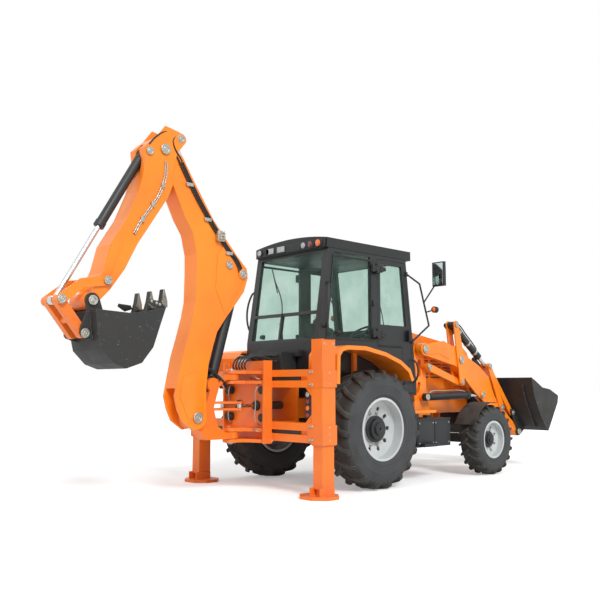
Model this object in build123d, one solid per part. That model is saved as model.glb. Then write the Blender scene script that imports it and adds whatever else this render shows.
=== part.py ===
from build123d import *
import math
import os

# Backhoe loader, side-shift type, parked on its wheels and stabilisers. Millimetres.
# Drawn in the machine's own frame: +X towards the loader bucket, +Y left, +Z up, with x = 0 at
# the rear axle and z = 0 on the ground. The last lines move x = 0 to the whole machine's middle.

# ---------------------------------------------------------------- clearances
pin_fit = 0.3            # radial, between a pin and its bore or a slide and its guide
side_gap = 5.0           # beside a piece that swings between two others
gland_step = 6.0         # a cylinder's end cap over its tube

# ---------------------------------------------------------------- wheels
wheelbase = 2340.0
rear_tyre_radius = 700.0
rear_tyre_width = 430.0
rear_rim_radius = 355.0
rear_rim_width = 382.0
rear_track = 1858.0
front_tyre_radius = 475.0
front_tyre_width = 318.0
front_rim_radius = 240.0
front_rim_width = 260.0
front_track = 1956.0
rim_wall = 12.0
rim_flange = 16.0        # how far the rim's flange stands above the bead seat

# ---------------------------------------------------------------- chassis
rail_centre = 350.0      # |y| of the two frame rails
rail_width = 100.0
rail_bottom = 830.0
rail_top = 1060.0
rail_rear = -715.0
rail_front = 2740.0        # the bonnet ends here too
kingpin_offset = 740.0   # |y| of the steering axis
spindle_radius = 35.0
axle_spindle_radius = 60.0

# ---------------------------------------------------------------- rear frame and stabilisers
frame_face = -1100.0     # rear face that the carriage slides on
beam_depth = 200.0
upper_beam = (1190.0, 1390.0)
lower_beam = (586.0, 800.0)
slot_height = 44.0
slot_depth = 30.0
leg_offset = 1110.0      # |y| of a stabiliser's centre
leg_centre_x = -995.0
housing_width = 170.0
housing_length = 200.0
housing_wall = 12.0
housing_bottom = 560.0
housing_top = 1720.0
pad_width = 440.0
pad_length = 400.0
pad_thickness = 34.0
leg_stroke = 400.0

# ---------------------------------------------------------------- carriage and kingpost
carriage_half_width = 380.0
carriage_plate = 40.0
carriage_bottom = 552.0
carriage_top = 1500.0
slew_axis_x = -1400.0
slew_pin_radius = 40.0
kingpost_half_width = 80.0
kingpost_bottom = 606.0
kingpost_top = 1340.0
slew_ram_offset = 160.0
slew_ram_height = 980.0

# ---------------------------------------------------------------- backhoe
foot_pin = (-1963.0, 861.0)
ram_base_offset = (246.0, 361.0)      # boom ram's base from the foot pin
boom_length = 2961.0
boom_angle = 99.74                    # of the line from foot pin to dipper pivot, from +X
boom_half_width = 120.0
boom_plate = 35.0
dipper_length = 1915.0
dipper_angle = 244.28
dipper_plate = 20.0
bucket_half_width = 292.0
bucket_shell = 22.0
lever_length = 541.0
lever_angle = 204.5
link_plate = 20.0

# ---------------------------------------------------------------- loader
arm_pivot = (1330.0, 1700.0)
arm_length = 2525.0
arm_angle = -27.73
arm_offset = 680.0                    # |y| of an arm's middle plane
arm_width = 100.0
loader_bucket_half_width = 1160.0
loader_bucket_shell = 16.0
loader_side_plate = 20.0

# ---------------------------------------------------------------- cab and bodywork
cab_half_width = 660.0
cab_rear_bottom = -620.0
cab_rear_top = -440.0
cab_front_bottom = 1215.0
cab_front_top = 1020.0
cab_floor = 1085.0
cab_top = 2880.0
cab_wall = 40.0
roof_top = 3060.0
glass_thickness = 8.0
bonnet_half_width = 440.0
bonnet_rear = 1300.0
bonnet_rear_height = 1955.0
bonnet_front_height = 1745.0
bonnet_wall = 14.0
sill_top = 1090.0


# ================================================================ helpers
# The point at a length and angle (degrees, from +X towards +Z) from an (x, z) point.
def polar(origin, length, angle):
    a = math.radians(angle)
    return (origin[0] + length * math.cos(a), origin[1] + length * math.sin(a))


# An (x, z) point from u along a direction and v to its left.
def along(origin, angle, u, v):
    a = math.radians(angle)
    return (origin[0] + u * math.cos(a) - v * math.sin(a),
            origin[1] + u * math.sin(a) + v * math.cos(a))


def distance(p, q):
    return math.hypot(q[0] - p[0], q[1] - p[1])


def direction(p, q):
    return math.degrees(math.atan2(q[1] - p[1], q[0] - p[0]))


# A plate: an (x, z) outline carried from y0 to y1.
def prism(outline, y0, y1):
    face = make_face(Polyline([Vector(x, y0, z) for x, z in outline], close=True))
    return extrude(face, amount=y1 - y0, dir=(0, 1, 0))


# A plate: an (x, y) outline carried from z0 to z1.
def plan(outline, z0, z1):
    face = make_face(Polyline([Vector(x, y, z0) for x, y in outline], close=True))
    return extrude(face, amount=z1 - z0, dir=(0, 0, 1))


# A plate: a (y, z) outline carried from x0 to x1.
def across(outline, x0, x1):
    face = make_face(Polyline([Vector(x0, y, z) for y, z in outline], close=True))
    return extrude(face, amount=x1 - x0, dir=(1, 0, 0))


def block(x0, x1, y0, y1, z0, z1):
    return Pos((x0 + x1) / 2, (y0 + y1) / 2, (z0 + z1) / 2) * Box(x1 - x0, y1 - y0, z1 - z0)


# A cylinder along Y at an (x, z) point.
def round_y(point, radius, y0, y1):
    return Pos(point[0], (y0 + y1) / 2, point[1]) * Rot(X=90) * Cylinder(radius, y1 - y0)


def round_z(x, y, radius, z0, z1):
    return Pos(x, y, (z0 + z1) / 2) * Cylinder(radius, z1 - z0)


def round_x(y, z, radius, x0, x1):
    return Pos((x0 + x1) / 2, y, z) * Rot(Y=90) * Cylinder(radius, x1 - x0)


# A link with rounded ends: the hull of two circles, as a plate from y0 to y1.
def bar(p, q, rp, rq, y0, y1):
    d = distance(p, q)
    t = direction(p, q)
    a = math.degrees(math.acos((rp - rq) / d))
    corner = [polar(p, rp, t + a), polar(q, rq, t + a), polar(q, rq, t - a), polar(p, rp, t - a)]
    return prism(corner, y0, y1) + round_y(p, rp, y0, y1) + round_y(q, rq, y0, y1)


# A cylinder between two points in space.
def tube(p, q, radius):
    start, end = Vector(*p), Vector(*q)
    plane = Plane(origin=start, z_dir=end - start)
    return plane * Cylinder(radius, (end - start).length, align=(Align.CENTER, Align.CENTER, Align.MIN))


# An (x, z) outline of even thickness to the left of a line of points.
def band(points, thickness):
    inner = []
    for i, p in enumerate(points):
        before = points[max(i - 1, 0)]
        after = points[min(i + 1, len(points) - 1)]
        a1 = direction(before, p) if i > 0 else direction(p, after)
        a2 = direction(p, after) if i < len(points) - 1 else a1
        turn = (a2 - a1 + 180) % 360 - 180
        inner.append(polar(p, thickness / math.cos(math.radians(turn / 2)), a1 + turn / 2 + 90))
    return points + inner[::-1]


def arc_points(centre, radius, start, end, count):
    return [polar(centre, radius, start + (end - start) * i / (count - 1)) for i in range(count)]


def mirrored(shape):
    return mirror(shape, about=Plane.XZ)


# The piece and its like on the machine's other side.
def pair(shape):
    return Compound([*shape.solids(), *mirrored(shape).solids()])


# A cylinder's tube: an eye at base, a neck past the lugs that hold it, then a tube to reach.
def ram_barrel(base, target, reach, radius, eye_radius, eye_half, pin_radius, neck, y):
    a = direction(base, target)
    body = round_y(base, eye_radius, y - eye_half, y + eye_half)
    v = min(0.8 * eye_radius, radius)
    throat = [along(base, a, u, w) for u, w in ((0, -v), (neck + 10, -v), (neck + 10, v), (0, v))]
    body += prism(throat, y - eye_half, y + eye_half)
    start, gland, end = polar(base, neck, a), polar(base, reach - 60, a), polar(base, reach, a)
    body += tube((start[0], y, start[1]), (end[0], y, end[1]), radius)
    body += tube((gland[0], y, gland[1]), (end[0], y, end[1]), radius + gland_step)
    return body - round_y(base, pin_radius + pin_fit, y - 2 * eye_half, y + 2 * eye_half)


def ram_bore(base, target, reach, bottom, rod_radius, y):
    a = direction(base, target)
    start, end = polar(base, bottom, a), polar(base, reach + 5, a)
    return tube((start[0], y, start[1]), (end[0], y, end[1]), rod_radius + pin_fit)


# A cylinder's rod: from bottom inside the tube to its eye at target.
def ram_rod(base, target, bottom, rod_radius, eye_radius, eye_half, y):
    a = direction(base, target)
    start = polar(base, bottom, a)
    end = polar(target, -eye_radius * 0.6, a)
    rod = tube((start[0], y, start[1]), (end[0], y, end[1]), rod_radius)
    return rod + round_y(target, eye_radius, y - eye_half, y + eye_half)


nodes = {}

# ================================================================ linkage points (x, z)
ram_base = (foot_pin[0] + ram_base_offset[0], foot_pin[1] + ram_base_offset[1])
dipper_pivot = polar(foot_pin, boom_length, boom_angle)
boom_ram_pin = along(foot_pin, boom_angle, 0.514 * boom_length, -888)
dipper_ram_base = along(foot_pin, boom_angle, 0.555 * boom_length, -706)
bucket_pivot = polar(dipper_pivot, dipper_length, dipper_angle)
dipper_ram_pin = along(dipper_pivot, dipper_angle, -240, 118)
bucket_ram_base = along(dipper_pivot, dipper_angle, 138, -150)
lever_pivot = along(bucket_pivot, dipper_angle, -262, 53)
bucket_ram_pin = polar(lever_pivot, lever_length, lever_angle)
bucket_link_pin = (bucket_pivot[0] - 75, bucket_pivot[1] - 330)

bucket_hinge = polar(arm_pivot, arm_length, arm_angle)
crank_pivot = along(arm_pivot, arm_angle, 754, 252)
lift_ram_pin = along(arm_pivot, arm_angle, 1454, 70)
tilt_lever_pivot = along(arm_pivot, arm_angle, 1970, 121)
crank_top = (crank_pivot[0] - 97, crank_pivot[1] + 493)
crank_low = (crank_pivot[0] + 20, crank_pivot[1] - 315)
reaction_pin = (arm_pivot[0] + 105, arm_pivot[1] - 235)
lift_ram_base = (arm_pivot[0] + 50, arm_pivot[1] - 640)
tilt_pin = (tilt_lever_pivot[0] - 300, tilt_lever_pivot[1] + 605)
tilt_link_pin = (bucket_hinge[0] - 150, bucket_hinge[1] + 285)


# ================================================================ wheels
# A tyre and its rim, turning about Y at x, on the side +1 left or -1 right.
# A closed ring of flat bands: section is a loop of (out, radius) points, radius taken at the corners.
def faceted_ring(section, count):
    loops = []
    for i in range(count):
        turn = 2 * math.pi * i / count
        loops.append([(x, -r * math.sin(turn), r * math.cos(turn)) for x, r in section])
    faces = []
    for i, near in enumerate(loops):
        far = loops[(i + 1) % count]
        for j in range(len(section)):
            k = (j + 1) % len(section)
            faces.append(Face(Wire.make_polygon([near[j], near[k], far[k], far[j]], close=True)))
    return Solid(Shell(faces))


# A tyre about +X with two staggered rows of leaning lugs, one lug's corner straight below its middle.
def lugged_tyre(radius, width, rim_radius, rim_width, tread, lean):
    count = tread["lugs"]
    half = width / 2
    crown = radius - tread["height"]
    seat = rim_width / 2 - rim_wall - pin_fit
    corner = 1 / math.cos(math.pi / (2 * count))
    bead = (rim_radius + pin_fit) * corner
    lip = (rim_radius + rim_flange + pin_fit) * corner
    side = [(seat, bead), (seat, lip), (half - 2, (lip + crown) / 2), (half - 50, crown)]
    carcass = faceted_ring(side + [(-x, r) for x, r in reversed(side)], 2 * count)
    skew = math.radians(tread["skew"])
    flat, full = (half - 48) / math.cos(skew), (half - 16) / math.cos(skew)
    overlap, buried = 14, crown - 14
    across = (flat + overlap) * math.sin(skew) / 2 + tread["width"] / 2 * math.cos(skew)
    top = math.sqrt(radius ** 2 - across ** 2)
    outline = [(-overlap, buried), (-overlap, top), (flat, top - 0.35 * tread["height"]),
               (full, top - 1.3 * tread["height"]), (full, buried - 30)]
    lug = extrude(Plane.XZ * make_face(Polyline(outline, close=True)), tread["width"] / 2, both=True)
    lug = Pos(0, -lean * (flat - overlap) * math.sin(skew) / 2, 0) * Rot(Z=lean * tread["skew"]) * lug
    first = 180 - lean * math.degrees(math.atan2(across, top))
    lugs = []
    for i in range(count):
        lugs.append(Rot(X=first + 360 * i / count) * lug)
        lugs.append(Rot(X=first + 360 * (i + 0.5) / count) * mirror(lug, about=Plane.YZ))
    return carcass + lugs


def wheel(name, x, radius, width, rim_radius, rim_width, track, side, hub, tread):
    place = Pos(x, side * track / 2, radius)
    tyre = lugged_tyre(radius, width, rim_radius, rim_width, tread, side)
    nodes[f"tyre_{name}"] = place * stand_out(side) * tyre

    # hub steps: from and to (outwards from the wheel's middle), outer radius
    rim = round_x(0, 0, rim_radius, -rim_width / 2, rim_width / 2)
    rim += round_x(0, 0, rim_radius + rim_flange, -rim_width / 2, -rim_width / 2 + rim_wall)
    rim += round_x(0, 0, rim_radius + rim_flange, rim_width / 2 - rim_wall, rim_width / 2)
    rim -= round_x(0, 0, rim_radius - rim_wall, -rim_width, rim_width)
    dish = Polyline([(hub["dish"], hub["radius"] - 5), (hub["seat"], rim_radius - rim_wall + 4),
                     (hub["seat"] - 16, rim_radius - rim_wall + 4),
                     (hub["dish"] - 16, hub["radius"] - 5)], close=True)
    rim += revolve(make_face(dish), axis=Axis.X)
    slot_radius = (hub["radius"] + rim_radius - rim_wall) / 2
    for i in range(hub["slots"]):
        turn = Rot(X=360 * (i + 0.5) / hub["slots"])
        rim -= turn * Pos(0, 0, slot_radius) * Rot(Y=90) * Cylinder(hub["slot_radius"], rim_width)
    for start, end, r in hub["steps"]:
        rim += round_x(0, 0, r, start, end)
    rim -= round_x(0, 0, hub["bore"] + pin_fit, hub["steps"][0][0] - 5, hub["bore_end"])
    nodes[f"rim_{name}"] = place * stand_out(side) * rim


# Turns +X, the way out of a wheel, to +Y on the left side and to -Y on the right.
def stand_out(side):
    return Rot(Z=90) if side > 0 else Rot(Z=-90)


rear_hub = {"radius": 150, "dish": 10, "seat": 60, "slots": 10, "slot_radius": 26,
            "steps": [(-130, -20, 110), (-20, 60, 150), (60, 110, 120), (110, 140, 75)],
            "bore": axle_spindle_radius, "bore_end": -30}
front_hub = {"radius": 105, "dish": 20, "seat": 50, "slots": 8, "slot_radius": 18,
             "steps": [(-95, 0, 75), (0, 45, 105), (45, 75, 70), (75, 90, 45)],
             "bore": spindle_radius, "bore_end": 20}
rear_tread = {"lugs": 15, "height": 38, "width": 60, "skew": 32}
front_tread = {"lugs": 14, "height": 28, "width": 42, "skew": 32}
for side_name, side in (("left", 1), ("right", -1)):
    wheel(f"rear_{side_name}", 0, rear_tyre_radius, rear_tyre_width, rear_rim_radius,
          rear_rim_width, rear_track, side, rear_hub, rear_tread)
    wheel(f"front_{side_name}", wheelbase, front_tyre_radius, front_tyre_width, front_rim_radius,
          front_rim_width, front_track, side, front_hub, front_tread)

# ================================================================ rear axle
axle_end = rear_track / 2 + rear_hub["bore_end"] - 8
axle = round_y((0, rear_tyre_radius), 85, -560, 560)
axle += round_y((0, rear_tyre_radius), 130, -230, 230)
axle += round_y((0, rear_tyre_radius), 185, -130, 130)
for inner, outer, r in ((540, 690, 150), (690, rear_track / 2 - 150, 105), (600, axle_end, axle_spindle_radius)):
    axle += round_y((0, rear_tyre_radius), r, inner, outer)
    axle += round_y((0, rear_tyre_radius), r, -outer, -inner)
for side in (-1, 1):
    pad = block(-110, 110, side * rail_centre - rail_width / 2, side * rail_centre + rail_width / 2,
                rear_tyre_radius, rail_bottom)
    axle += pad
rear_axle = axle

# ================================================================ front axle
axle_x, axle_z = wheelbase, front_tyre_radius
eye_half = 75
beam = block(axle_x - 55, axle_x + 55, -kingpin_offset + 60, kingpin_offset - 60, axle_z - 60, axle_z + 60)
beam += round_x(0, axle_z, 95, axle_x - 65, axle_x + 65)
for side in (-1, 1):
    beam += round_z(axle_x, side * kingpin_offset, 52, axle_z - eye_half, axle_z + eye_half)
    beam += block(axle_x - 40, axle_x + 40, min(side * 640, side * kingpin_offset),
                  max(side * 640, side * kingpin_offset), axle_z - 45, axle_z + 45)
steering_ram_x = axle_x - 145
beam += round_y((steering_ram_x, axle_z), 35, -330, 330)
for y in (-220, 220):
    beam += block(steering_ram_x, axle_x, y - 20, y + 20, axle_z - 30, axle_z + 30)
for side in (-1, 1):
    beam -= round_z(axle_x, side * kingpin_offset, 25 + pin_fit, axle_z - 100, axle_z + 100)
beam -= round_x(0, axle_z, 40 + pin_fit, axle_x - 200, axle_x + 200)
nodes["axles"] = Compound([*rear_axle.solids(), *beam.solids()])

# knuckles: a fork above and below the axle's eye, a spindle, and the front mudguard on its bracket
plate_gap = 6
mudguard_radius = front_tyre_radius + 36


# A steering knuckle, drawn on the left and mirrored to the right.
def knuckle(side):
    y = kingpin_offset
    low, high = axle_z - eye_half - plate_gap, axle_z + eye_half + plate_gap
    piece = round_z(axle_x, y, 60, high, high + 32) + round_z(axle_x, y, 60, low - 32, low)
    piece += block(axle_x - 60, axle_x + 60, y, y + 105, high, high + 32)
    piece += block(axle_x - 60, axle_x + 60, y, y + 105, low - 32, low)
    piece += block(axle_x - 60, axle_x + 60, y + 72, y + 105, low - 32, high + 32)
    piece += round_z(axle_x, y, 25, low - 32, high + 32)
    spindle_end = front_track / 2 + front_hub["bore_end"] - 8
    piece += round_y((axle_x, axle_z), spindle_radius, y + 90, spindle_end)
    piece += round_y((axle_x, axle_z), 62, y + 90, front_track / 2 + front_hub["steps"][0][0] - 8)
    outer = front_track / 2 + front_tyre_width / 2 - 20
    inner = front_track / 2 - front_tyre_width / 2 - 32
    guard = arc_points((axle_x, axle_z), mudguard_radius, 155, 80, 9)
    piece += prism(band(guard, -6), inner, outer)
    piece += block(axle_x - 45, axle_x - 5, inner, inner + 14, high, axle_z + mudguard_radius * 0.99)
    return piece if side > 0 else mirrored(piece)


nodes["steering_knuckle_left"] = knuckle(1)
nodes["steering_knuckle_right"] = knuckle(-1)

# ================================================================ main frame with loader towers
rail_inner, rail_outer = rail_centre - rail_width / 2, rail_centre + rail_width / 2
main = block(rail_rear - 30, rail_rear, -420, 420, lower_beam[0], upper_beam[1])
for side in (-1, 1):
    y0, y1 = sorted((side * rail_inner, side * rail_outer))
    main += block(rail_rear, rail_front, y0, y1, rail_bottom, rail_top)
    gusset0, gusset1 = sorted((side * rail_inner, side * (rail_inner + 40)))
    for low, high in (upper_beam, lower_beam):
        main += block(frame_face + beam_depth, rail_rear - 20, gusset0, gusset1, low, high)
for x0, x1 in ((-400, -320), (500, 580), (1320, 1400), (axle_x - 110, axle_x + 110)):
    main += block(x0, x1, -rail_inner, rail_inner, rail_bottom + 10, rail_top - 60)
# front axle's carrier: two cheeks and the pin that the axle rocks on
for x0, x1 in ((axle_x - 100, axle_x - 66), (axle_x + 66, axle_x + 100)):
    main += block(x0, x1, -130, 130, axle_z - 70, rail_bottom + 20)
main += round_x(0, axle_z, 40, axle_x - 100, axle_x + 100)
tower_inner, tower_outer = 520, 600
tower_outline = [(arm_pivot[0] - 85, 790), (arm_pivot[0] - 95, arm_pivot[1] + 20),
                 (arm_pivot[0] - 60, arm_pivot[1] + 85), (arm_pivot[0] + 60, arm_pivot[1] + 85),
                 (arm_pivot[0] + 105, arm_pivot[1] + 10), (arm_pivot[0] + 165, reaction_pin[1] - 20),
                 (arm_pivot[0] + 175, lift_ram_base[1] + 80), (arm_pivot[0] + 260, 790)]
tower = prism(tower_outline, tower_inner, tower_outer)
tower -= bar((arm_pivot[0] + 30, arm_pivot[1] - 170), (arm_pivot[0] + 20, arm_pivot[1] - 330), 38, 38, 0, 900)
tower -= bar((arm_pivot[0] + 20, arm_pivot[1] - 470), (arm_pivot[0] - 5, arm_pivot[1] - 560), 32, 32, 0, 900)
tower += block(arm_pivot[0] - 85, arm_pivot[0] + 200, rail_outer, tower_inner, rail_bottom, rail_top)
pin_end = arm_offset + arm_width / 2 + 12
tower += round_y(arm_pivot, 35, tower_outer - 10, pin_end)
tower += round_y(arm_pivot, 60, tower_outer - 10, arm_offset - arm_width / 2 - pin_fit)
for pin, r in ((reaction_pin, 25), (lift_ram_base, 28)):
    tower += round_y(pin, r, tower_outer - 10, arm_offset + 40)
    tower += round_y(pin, r + 18, tower_outer - 10, arm_offset - 25 - pin_fit)
main += tower + mirrored(tower)
# lashing eyes under the front of the rails
tie_x, tie_z, tie_bore, tie_plate = rail_front - 42, rail_bottom - 18, 15, 30
for side in (-1, 1):
    y = side * rail_centre
    main += block(tie_x - 42, tie_x + 42, y - tie_plate / 2, y + tie_plate / 2, tie_z, rail_bottom + 5)
    main += round_y((tie_x, tie_z), 42, y - tie_plate / 2, y + tie_plate / 2)
    main -= round_y((tie_x, tie_z), tie_bore, y - tie_plate, y + tie_plate)
# shelf that the bonnet's edges come down on
for side in (-1, 1):
    y0, y1 = sorted((side * rail_inner, side * (bonnet_half_width + 5)))
    main += block(bonnet_rear, rail_front, y0, y1, rail_top, sill_top - pin_fit)
nodes["main_frame"] = main

# ================================================================ nose, engine and bonnet
nose_front = rail_front + 60
nose_half = bonnet_half_width - bonnet_wall - 12
nose_top = bonnet_front_height - 150
nose = block(rail_front, nose_front, -nose_half, nose_half, 660, nose_top)
grille_half, grille_bars, grille_pitch = nose_half - 70, 8, 56
for i in range(grille_bars):
    z = sill_top + 25 + i * grille_pitch
    nose -= block(nose_front - 35, nose_front + 5, -grille_half, grille_half, z, z + 32)
nodes["nose_grille"] = nose

engine = block(1420, 2200, -230, 230, 880, 1560)
for x in (1500, 2000):
    engine += block(x, x + 100, -rail_inner - 60, rail_inner + 60, sill_top, sill_top + 60)
engine += block(2330, 2400, -300, 300, sill_top, 1600) + block(2200, 2330, -60, 60, 1200, 1400)
nodes["engine_block"] = engine

slope = (bonnet_front_height - bonnet_rear_height) / (rail_front - bonnet_rear)
bonnet_opening = nose_top + 12
bonnet_outline = [(bonnet_rear, sill_top), (bonnet_rear, bonnet_rear_height),
                  (rail_front - 120, bonnet_front_height - 120 * slope),
                  (rail_front - 30, bonnet_front_height - 45), (rail_front, bonnet_opening + 30),
                  (rail_front, sill_top)]
hollow_outline = [(bonnet_rear - 1, sill_top - 1), (bonnet_rear - 1, bonnet_rear_height - bonnet_wall),
                  (rail_front - 125, bonnet_front_height - 120 * slope - bonnet_wall),
                  (rail_front - 44, bonnet_front_height - 54), (rail_front - bonnet_wall, bonnet_opening),
                  (rail_front + 1, bonnet_opening), (rail_front + 1, sill_top - 1)]
inner_half = bonnet_half_width - bonnet_wall
bonnet = prism(bonnet_outline, -bonnet_half_width, bonnet_half_width)
bonnet -= prism(hollow_outline, -inner_half, inner_half)
bonnet_hinge = (bonnet_rear - 12, bonnet_rear_height - 16)
for y0, y1 in ((-300, -240), (240, 300)):
    bonnet += bar(bonnet_hinge, (bonnet_rear + 14, bonnet_hinge[1]), 12, 12, y0, y1)
    bonnet -= round_y(bonnet_hinge, 6 + pin_fit, y0 - 5, y1 + 5)
nodes["bonnet"] = bonnet

# ================================================================ cab
waist = 1750.0            # the sides below this are upright
sill = 1250.0
cab_outline = [(cab_rear_bottom, cab_floor), (cab_rear_bottom, waist), (cab_rear_top, cab_top),
               (cab_front_top, cab_top), (cab_front_bottom, sill), (cab_front_bottom, cab_floor)]
w = cab_wall
cab_inside = [(cab_rear_bottom + w, cab_floor + w), (cab_rear_bottom + w, waist),
              (cab_rear_top + w, cab_top - w), (cab_front_top - w, cab_top - w),
              (cab_front_bottom - w, sill), (cab_front_bottom - w, cab_floor + w)]
window_top = cab_top - 45
pillar_front, pillar_rear = 440.0, 305.0      # the middle pillar, either side
door_step = 930.0                             # ahead of this the door reaches down to the floor
door_low = cab_floor + 25
fender_height = 1667.0
door_high_sill = fender_height + 35
quarter_window = [(cab_rear_bottom + 110, waist + 25), (pillar_rear, waist + 25),
                  (pillar_rear, window_top), (cab_rear_top + 75, window_top)]
door_front = [(cab_front_bottom - 50, door_low), (cab_front_bottom - 50, sill), (cab_front_top - 35, window_top)]
door_outline = [(pillar_front, door_high_sill), (door_step, door_high_sill), (door_step, door_low),
                *door_front, (pillar_front, window_top)]
inner_half = cab_half_width - cab_wall
cab = prism(cab_outline, -cab_half_width, cab_half_width) - prism(cab_inside, -inner_half, inner_half)
for outline in (quarter_window, door_outline):
    hole = prism(outline, inner_half - 0.5, cab_half_width + 5)
    cab -= hole
    cab -= mirrored(hole)
rear_divider = 2090.0
rear_glass_rows = ((waist + 30, rear_divider - 20, -inner_half + 50, 35),
                   (waist + 30, rear_divider - 20, 65, inner_half - 50),
                   (rear_divider + 20, window_top, -inner_half + 50, inner_half - 50))
for low, high, y0, y1 in rear_glass_rows:
    cab -= block(cab_rear_bottom - 50, cab_rear_top + 60, y0, y1, low, high)
windscreen_low = bonnet_rear_height + 30
cab -= block(cab_front_top - 100, cab_front_bottom + 10, -inner_half + 30, inner_half - 30,
             windscreen_low, window_top)
# scuttle between the cab and the bonnet
scuttle_half, scuttle_top = bonnet_half_width - 10, bonnet_hinge[1] - 14 - 8
scuttle_front = bonnet_rear - 14
cab += block(cab_front_bottom - 110, scuttle_front, -scuttle_half, scuttle_half, scuttle_top - 20, scuttle_top)
for side in (-1, 1):
    y0, y1 = sorted((side * scuttle_half, side * (scuttle_half - 20)))
    cab += prism([(cab_front_bottom - 15, sill_top), (scuttle_front, sill_top), (scuttle_front, scuttle_top),
                  (cab_front_bottom - 95, scuttle_top), (cab_front_bottom - 15, sill)], y0, y1)
# lugs and pins that the bonnet turns on, and the fixed half of each door hinge
for y0, y1 in ((-335, -305), (-235, -205), (205, 235), (305, 335)):
    cab += block(cab_front_top + 90, bonnet_hinge[0], y0, y1, bonnet_hinge[1] - 12, bonnet_hinge[1] + 10)
    cab += round_y(bonnet_hinge, 10, y0, y1)
for y0, y1 in ((-335, -205), (205, 335)):
    cab += round_y(bonnet_hinge, 6, y0, y1)
door_hinge_x = pillar_front - 20
door_hinge_y = cab_half_width + 26
hinge_heights = (1860.0, 2700.0)
for side in (-1, 1):
    for z in hinge_heights:
        y0, y1 = sorted((side * (cab_half_width - 5), side * door_hinge_y))
        for low in (z - 52, z + 22):
            cab += block(door_hinge_x - 18, door_hinge_x + 18, y0, y1, low, low + 30)
            cab += round_z(door_hinge_x, side * door_hinge_y, 18, low, low + 30)
        cab += round_z(door_hinge_x, side * door_hinge_y, 9, z - 52, z + 52)
# floor hangers down to the rails
for x in (-380, 520):
    cab += block(x, x + 80, -rail_outer, -rail_inner, rail_top, cab_floor + 5)
    cab += block(x, x + 80, rail_inner, rail_outer, rail_top, cab_floor + 5)
nodes["cab_frame"] = cab

roof_rear, roof_front = cab_rear_top - 30, cab_front_top + 100
crown = ThreePointArc((-cab_half_width - 5, roof_top - 60), (0, roof_top), (cab_half_width + 5, roof_top - 60))
rim_line = Polyline([(cab_half_width + 5, roof_top - 60), (cab_half_width + 5, cab_top + 0.2),
                     (-cab_half_width - 5, cab_top + 0.2), (-cab_half_width - 5, roof_top - 60)])
roof = extrude(Plane.YZ * make_face([crown, rim_line]), amount=roof_front - roof_rear)
roof = Pos(roof_rear, 0, 0) * roof
roof -= block(roof_rear + 60, roof_front - 60, -cab_half_width + 60, cab_half_width - 60,
              cab_top - 5, roof_top - 90)
nodes["cab_roof"] = roof

# panes lie mid-wall, each just inside its opening
pane = pin_fit


def side_pane(outline, side, middle):
    y0, y1 = sorted((side * (middle - glass_thickness / 2), side * (middle + glass_thickness / 2)))
    return prism(outline, y0, y1)


quarter_pane = [(quarter_window[0][0] + pane, quarter_window[0][1] + pane),
                (quarter_window[1][0] - pane, quarter_window[1][1] + pane),
                (quarter_window[2][0] - pane, quarter_window[2][1] - pane),
                (quarter_window[3][0] + pane, quarter_window[3][1] - pane)]
wall_middle = cab_half_width - cab_wall / 2
glass = []
for side in (-1, 1):
    glass += side_pane(quarter_pane, side, wall_middle).solids()
rear_lean = (cab_rear_top - cab_rear_bottom) / (cab_top - waist)
front_lean = (cab_front_top - cab_front_bottom) / (cab_top - sill)


# A pane in a wall that leans by lean from (foot_x, foot_z).
def leaning_pane(foot_x, foot_z, lean, low, high, y0, y1):
    at_low, at_high = foot_x + lean * (low - foot_z), foot_x + lean * (high - foot_z)
    t = glass_thickness / 2
    return prism([(at_low - t, low), (at_low + t, low), (at_high + t, high), (at_high - t, high)], y0, y1)


for low, high, y0, y1 in rear_glass_rows:
    glass += leaning_pane(cab_rear_bottom + cab_wall / 2, waist, rear_lean,
                          low + pane, high - pane, y0 + pane, y1 - pane).solids()
glass += leaning_pane(cab_front_bottom - cab_wall / 2, sill, front_lean, windscreen_low + pane,
                      window_top - pane, -inner_half + 30 + pane, inner_half - 30 - pane).solids()
nodes["cab_glass"] = Compound(glass)

# doors: hung on the middle pillar, stepped to pass over the rear fender
door_gap = side_gap + 1


def door(side):
    g = door_gap
    outline = [(pillar_front + g, door_high_sill + g), (door_step + g, door_high_sill + g),
               (door_step + g, door_low + g), (door_front[0][0] - g, door_low + g),
               (door_front[1][0] - g, sill), (door_front[2][0] - g, window_top - g),
               (pillar_front + g, window_top - g)]
    f = 55
    opening = [(pillar_front + g + f, 1990), (door_front[1][0] - g - f + front_lean * (1990 - sill), 1990),
               (door_front[2][0] - g - f + 6, window_top - g - f), (pillar_front + g + f, window_top - g - f)]
    leaf = prism(outline, inner_half, cab_half_width) - prism(opening, inner_half - 5, cab_half_width + 5)
    for z in hinge_heights:
        leaf += block(pillar_front + g + 2, pillar_front + g + 90, cab_half_width - 3, door_hinge_y + 10, z - 16, z + 16)
        leaf += block(door_hinge_x, pillar_front + g + 60, door_hinge_y - 14, door_hinge_y + 10, z - 16, z + 16)
        leaf += round_z(door_hinge_x, door_hinge_y, 17, z - 16, z + 16)
        leaf -= round_z(door_hinge_x, door_hinge_y, 9 + pin_fit, z - 20, z + 20)
    leaf += block(1030, 1060, cab_half_width - 2, cab_half_width + 45, 1800, 1930)
    inset = [(opening[0][0] + pane, opening[0][1] + pane), (opening[1][0] - pane, opening[1][1] + pane),
             (opening[2][0] - pane, opening[2][1] - pane), (opening[3][0] + pane, opening[3][1] - pane)]
    window = side_pane(inset, 1, wall_middle)
    return (leaf, window) if side > 0 else (mirrored(leaf), mirrored(window))


for side_name, side in (("left", 1), ("right", -1)):
    nodes[f"door_{side_name}"], nodes[f"door_glass_{side_name}"] = door(side)

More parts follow.
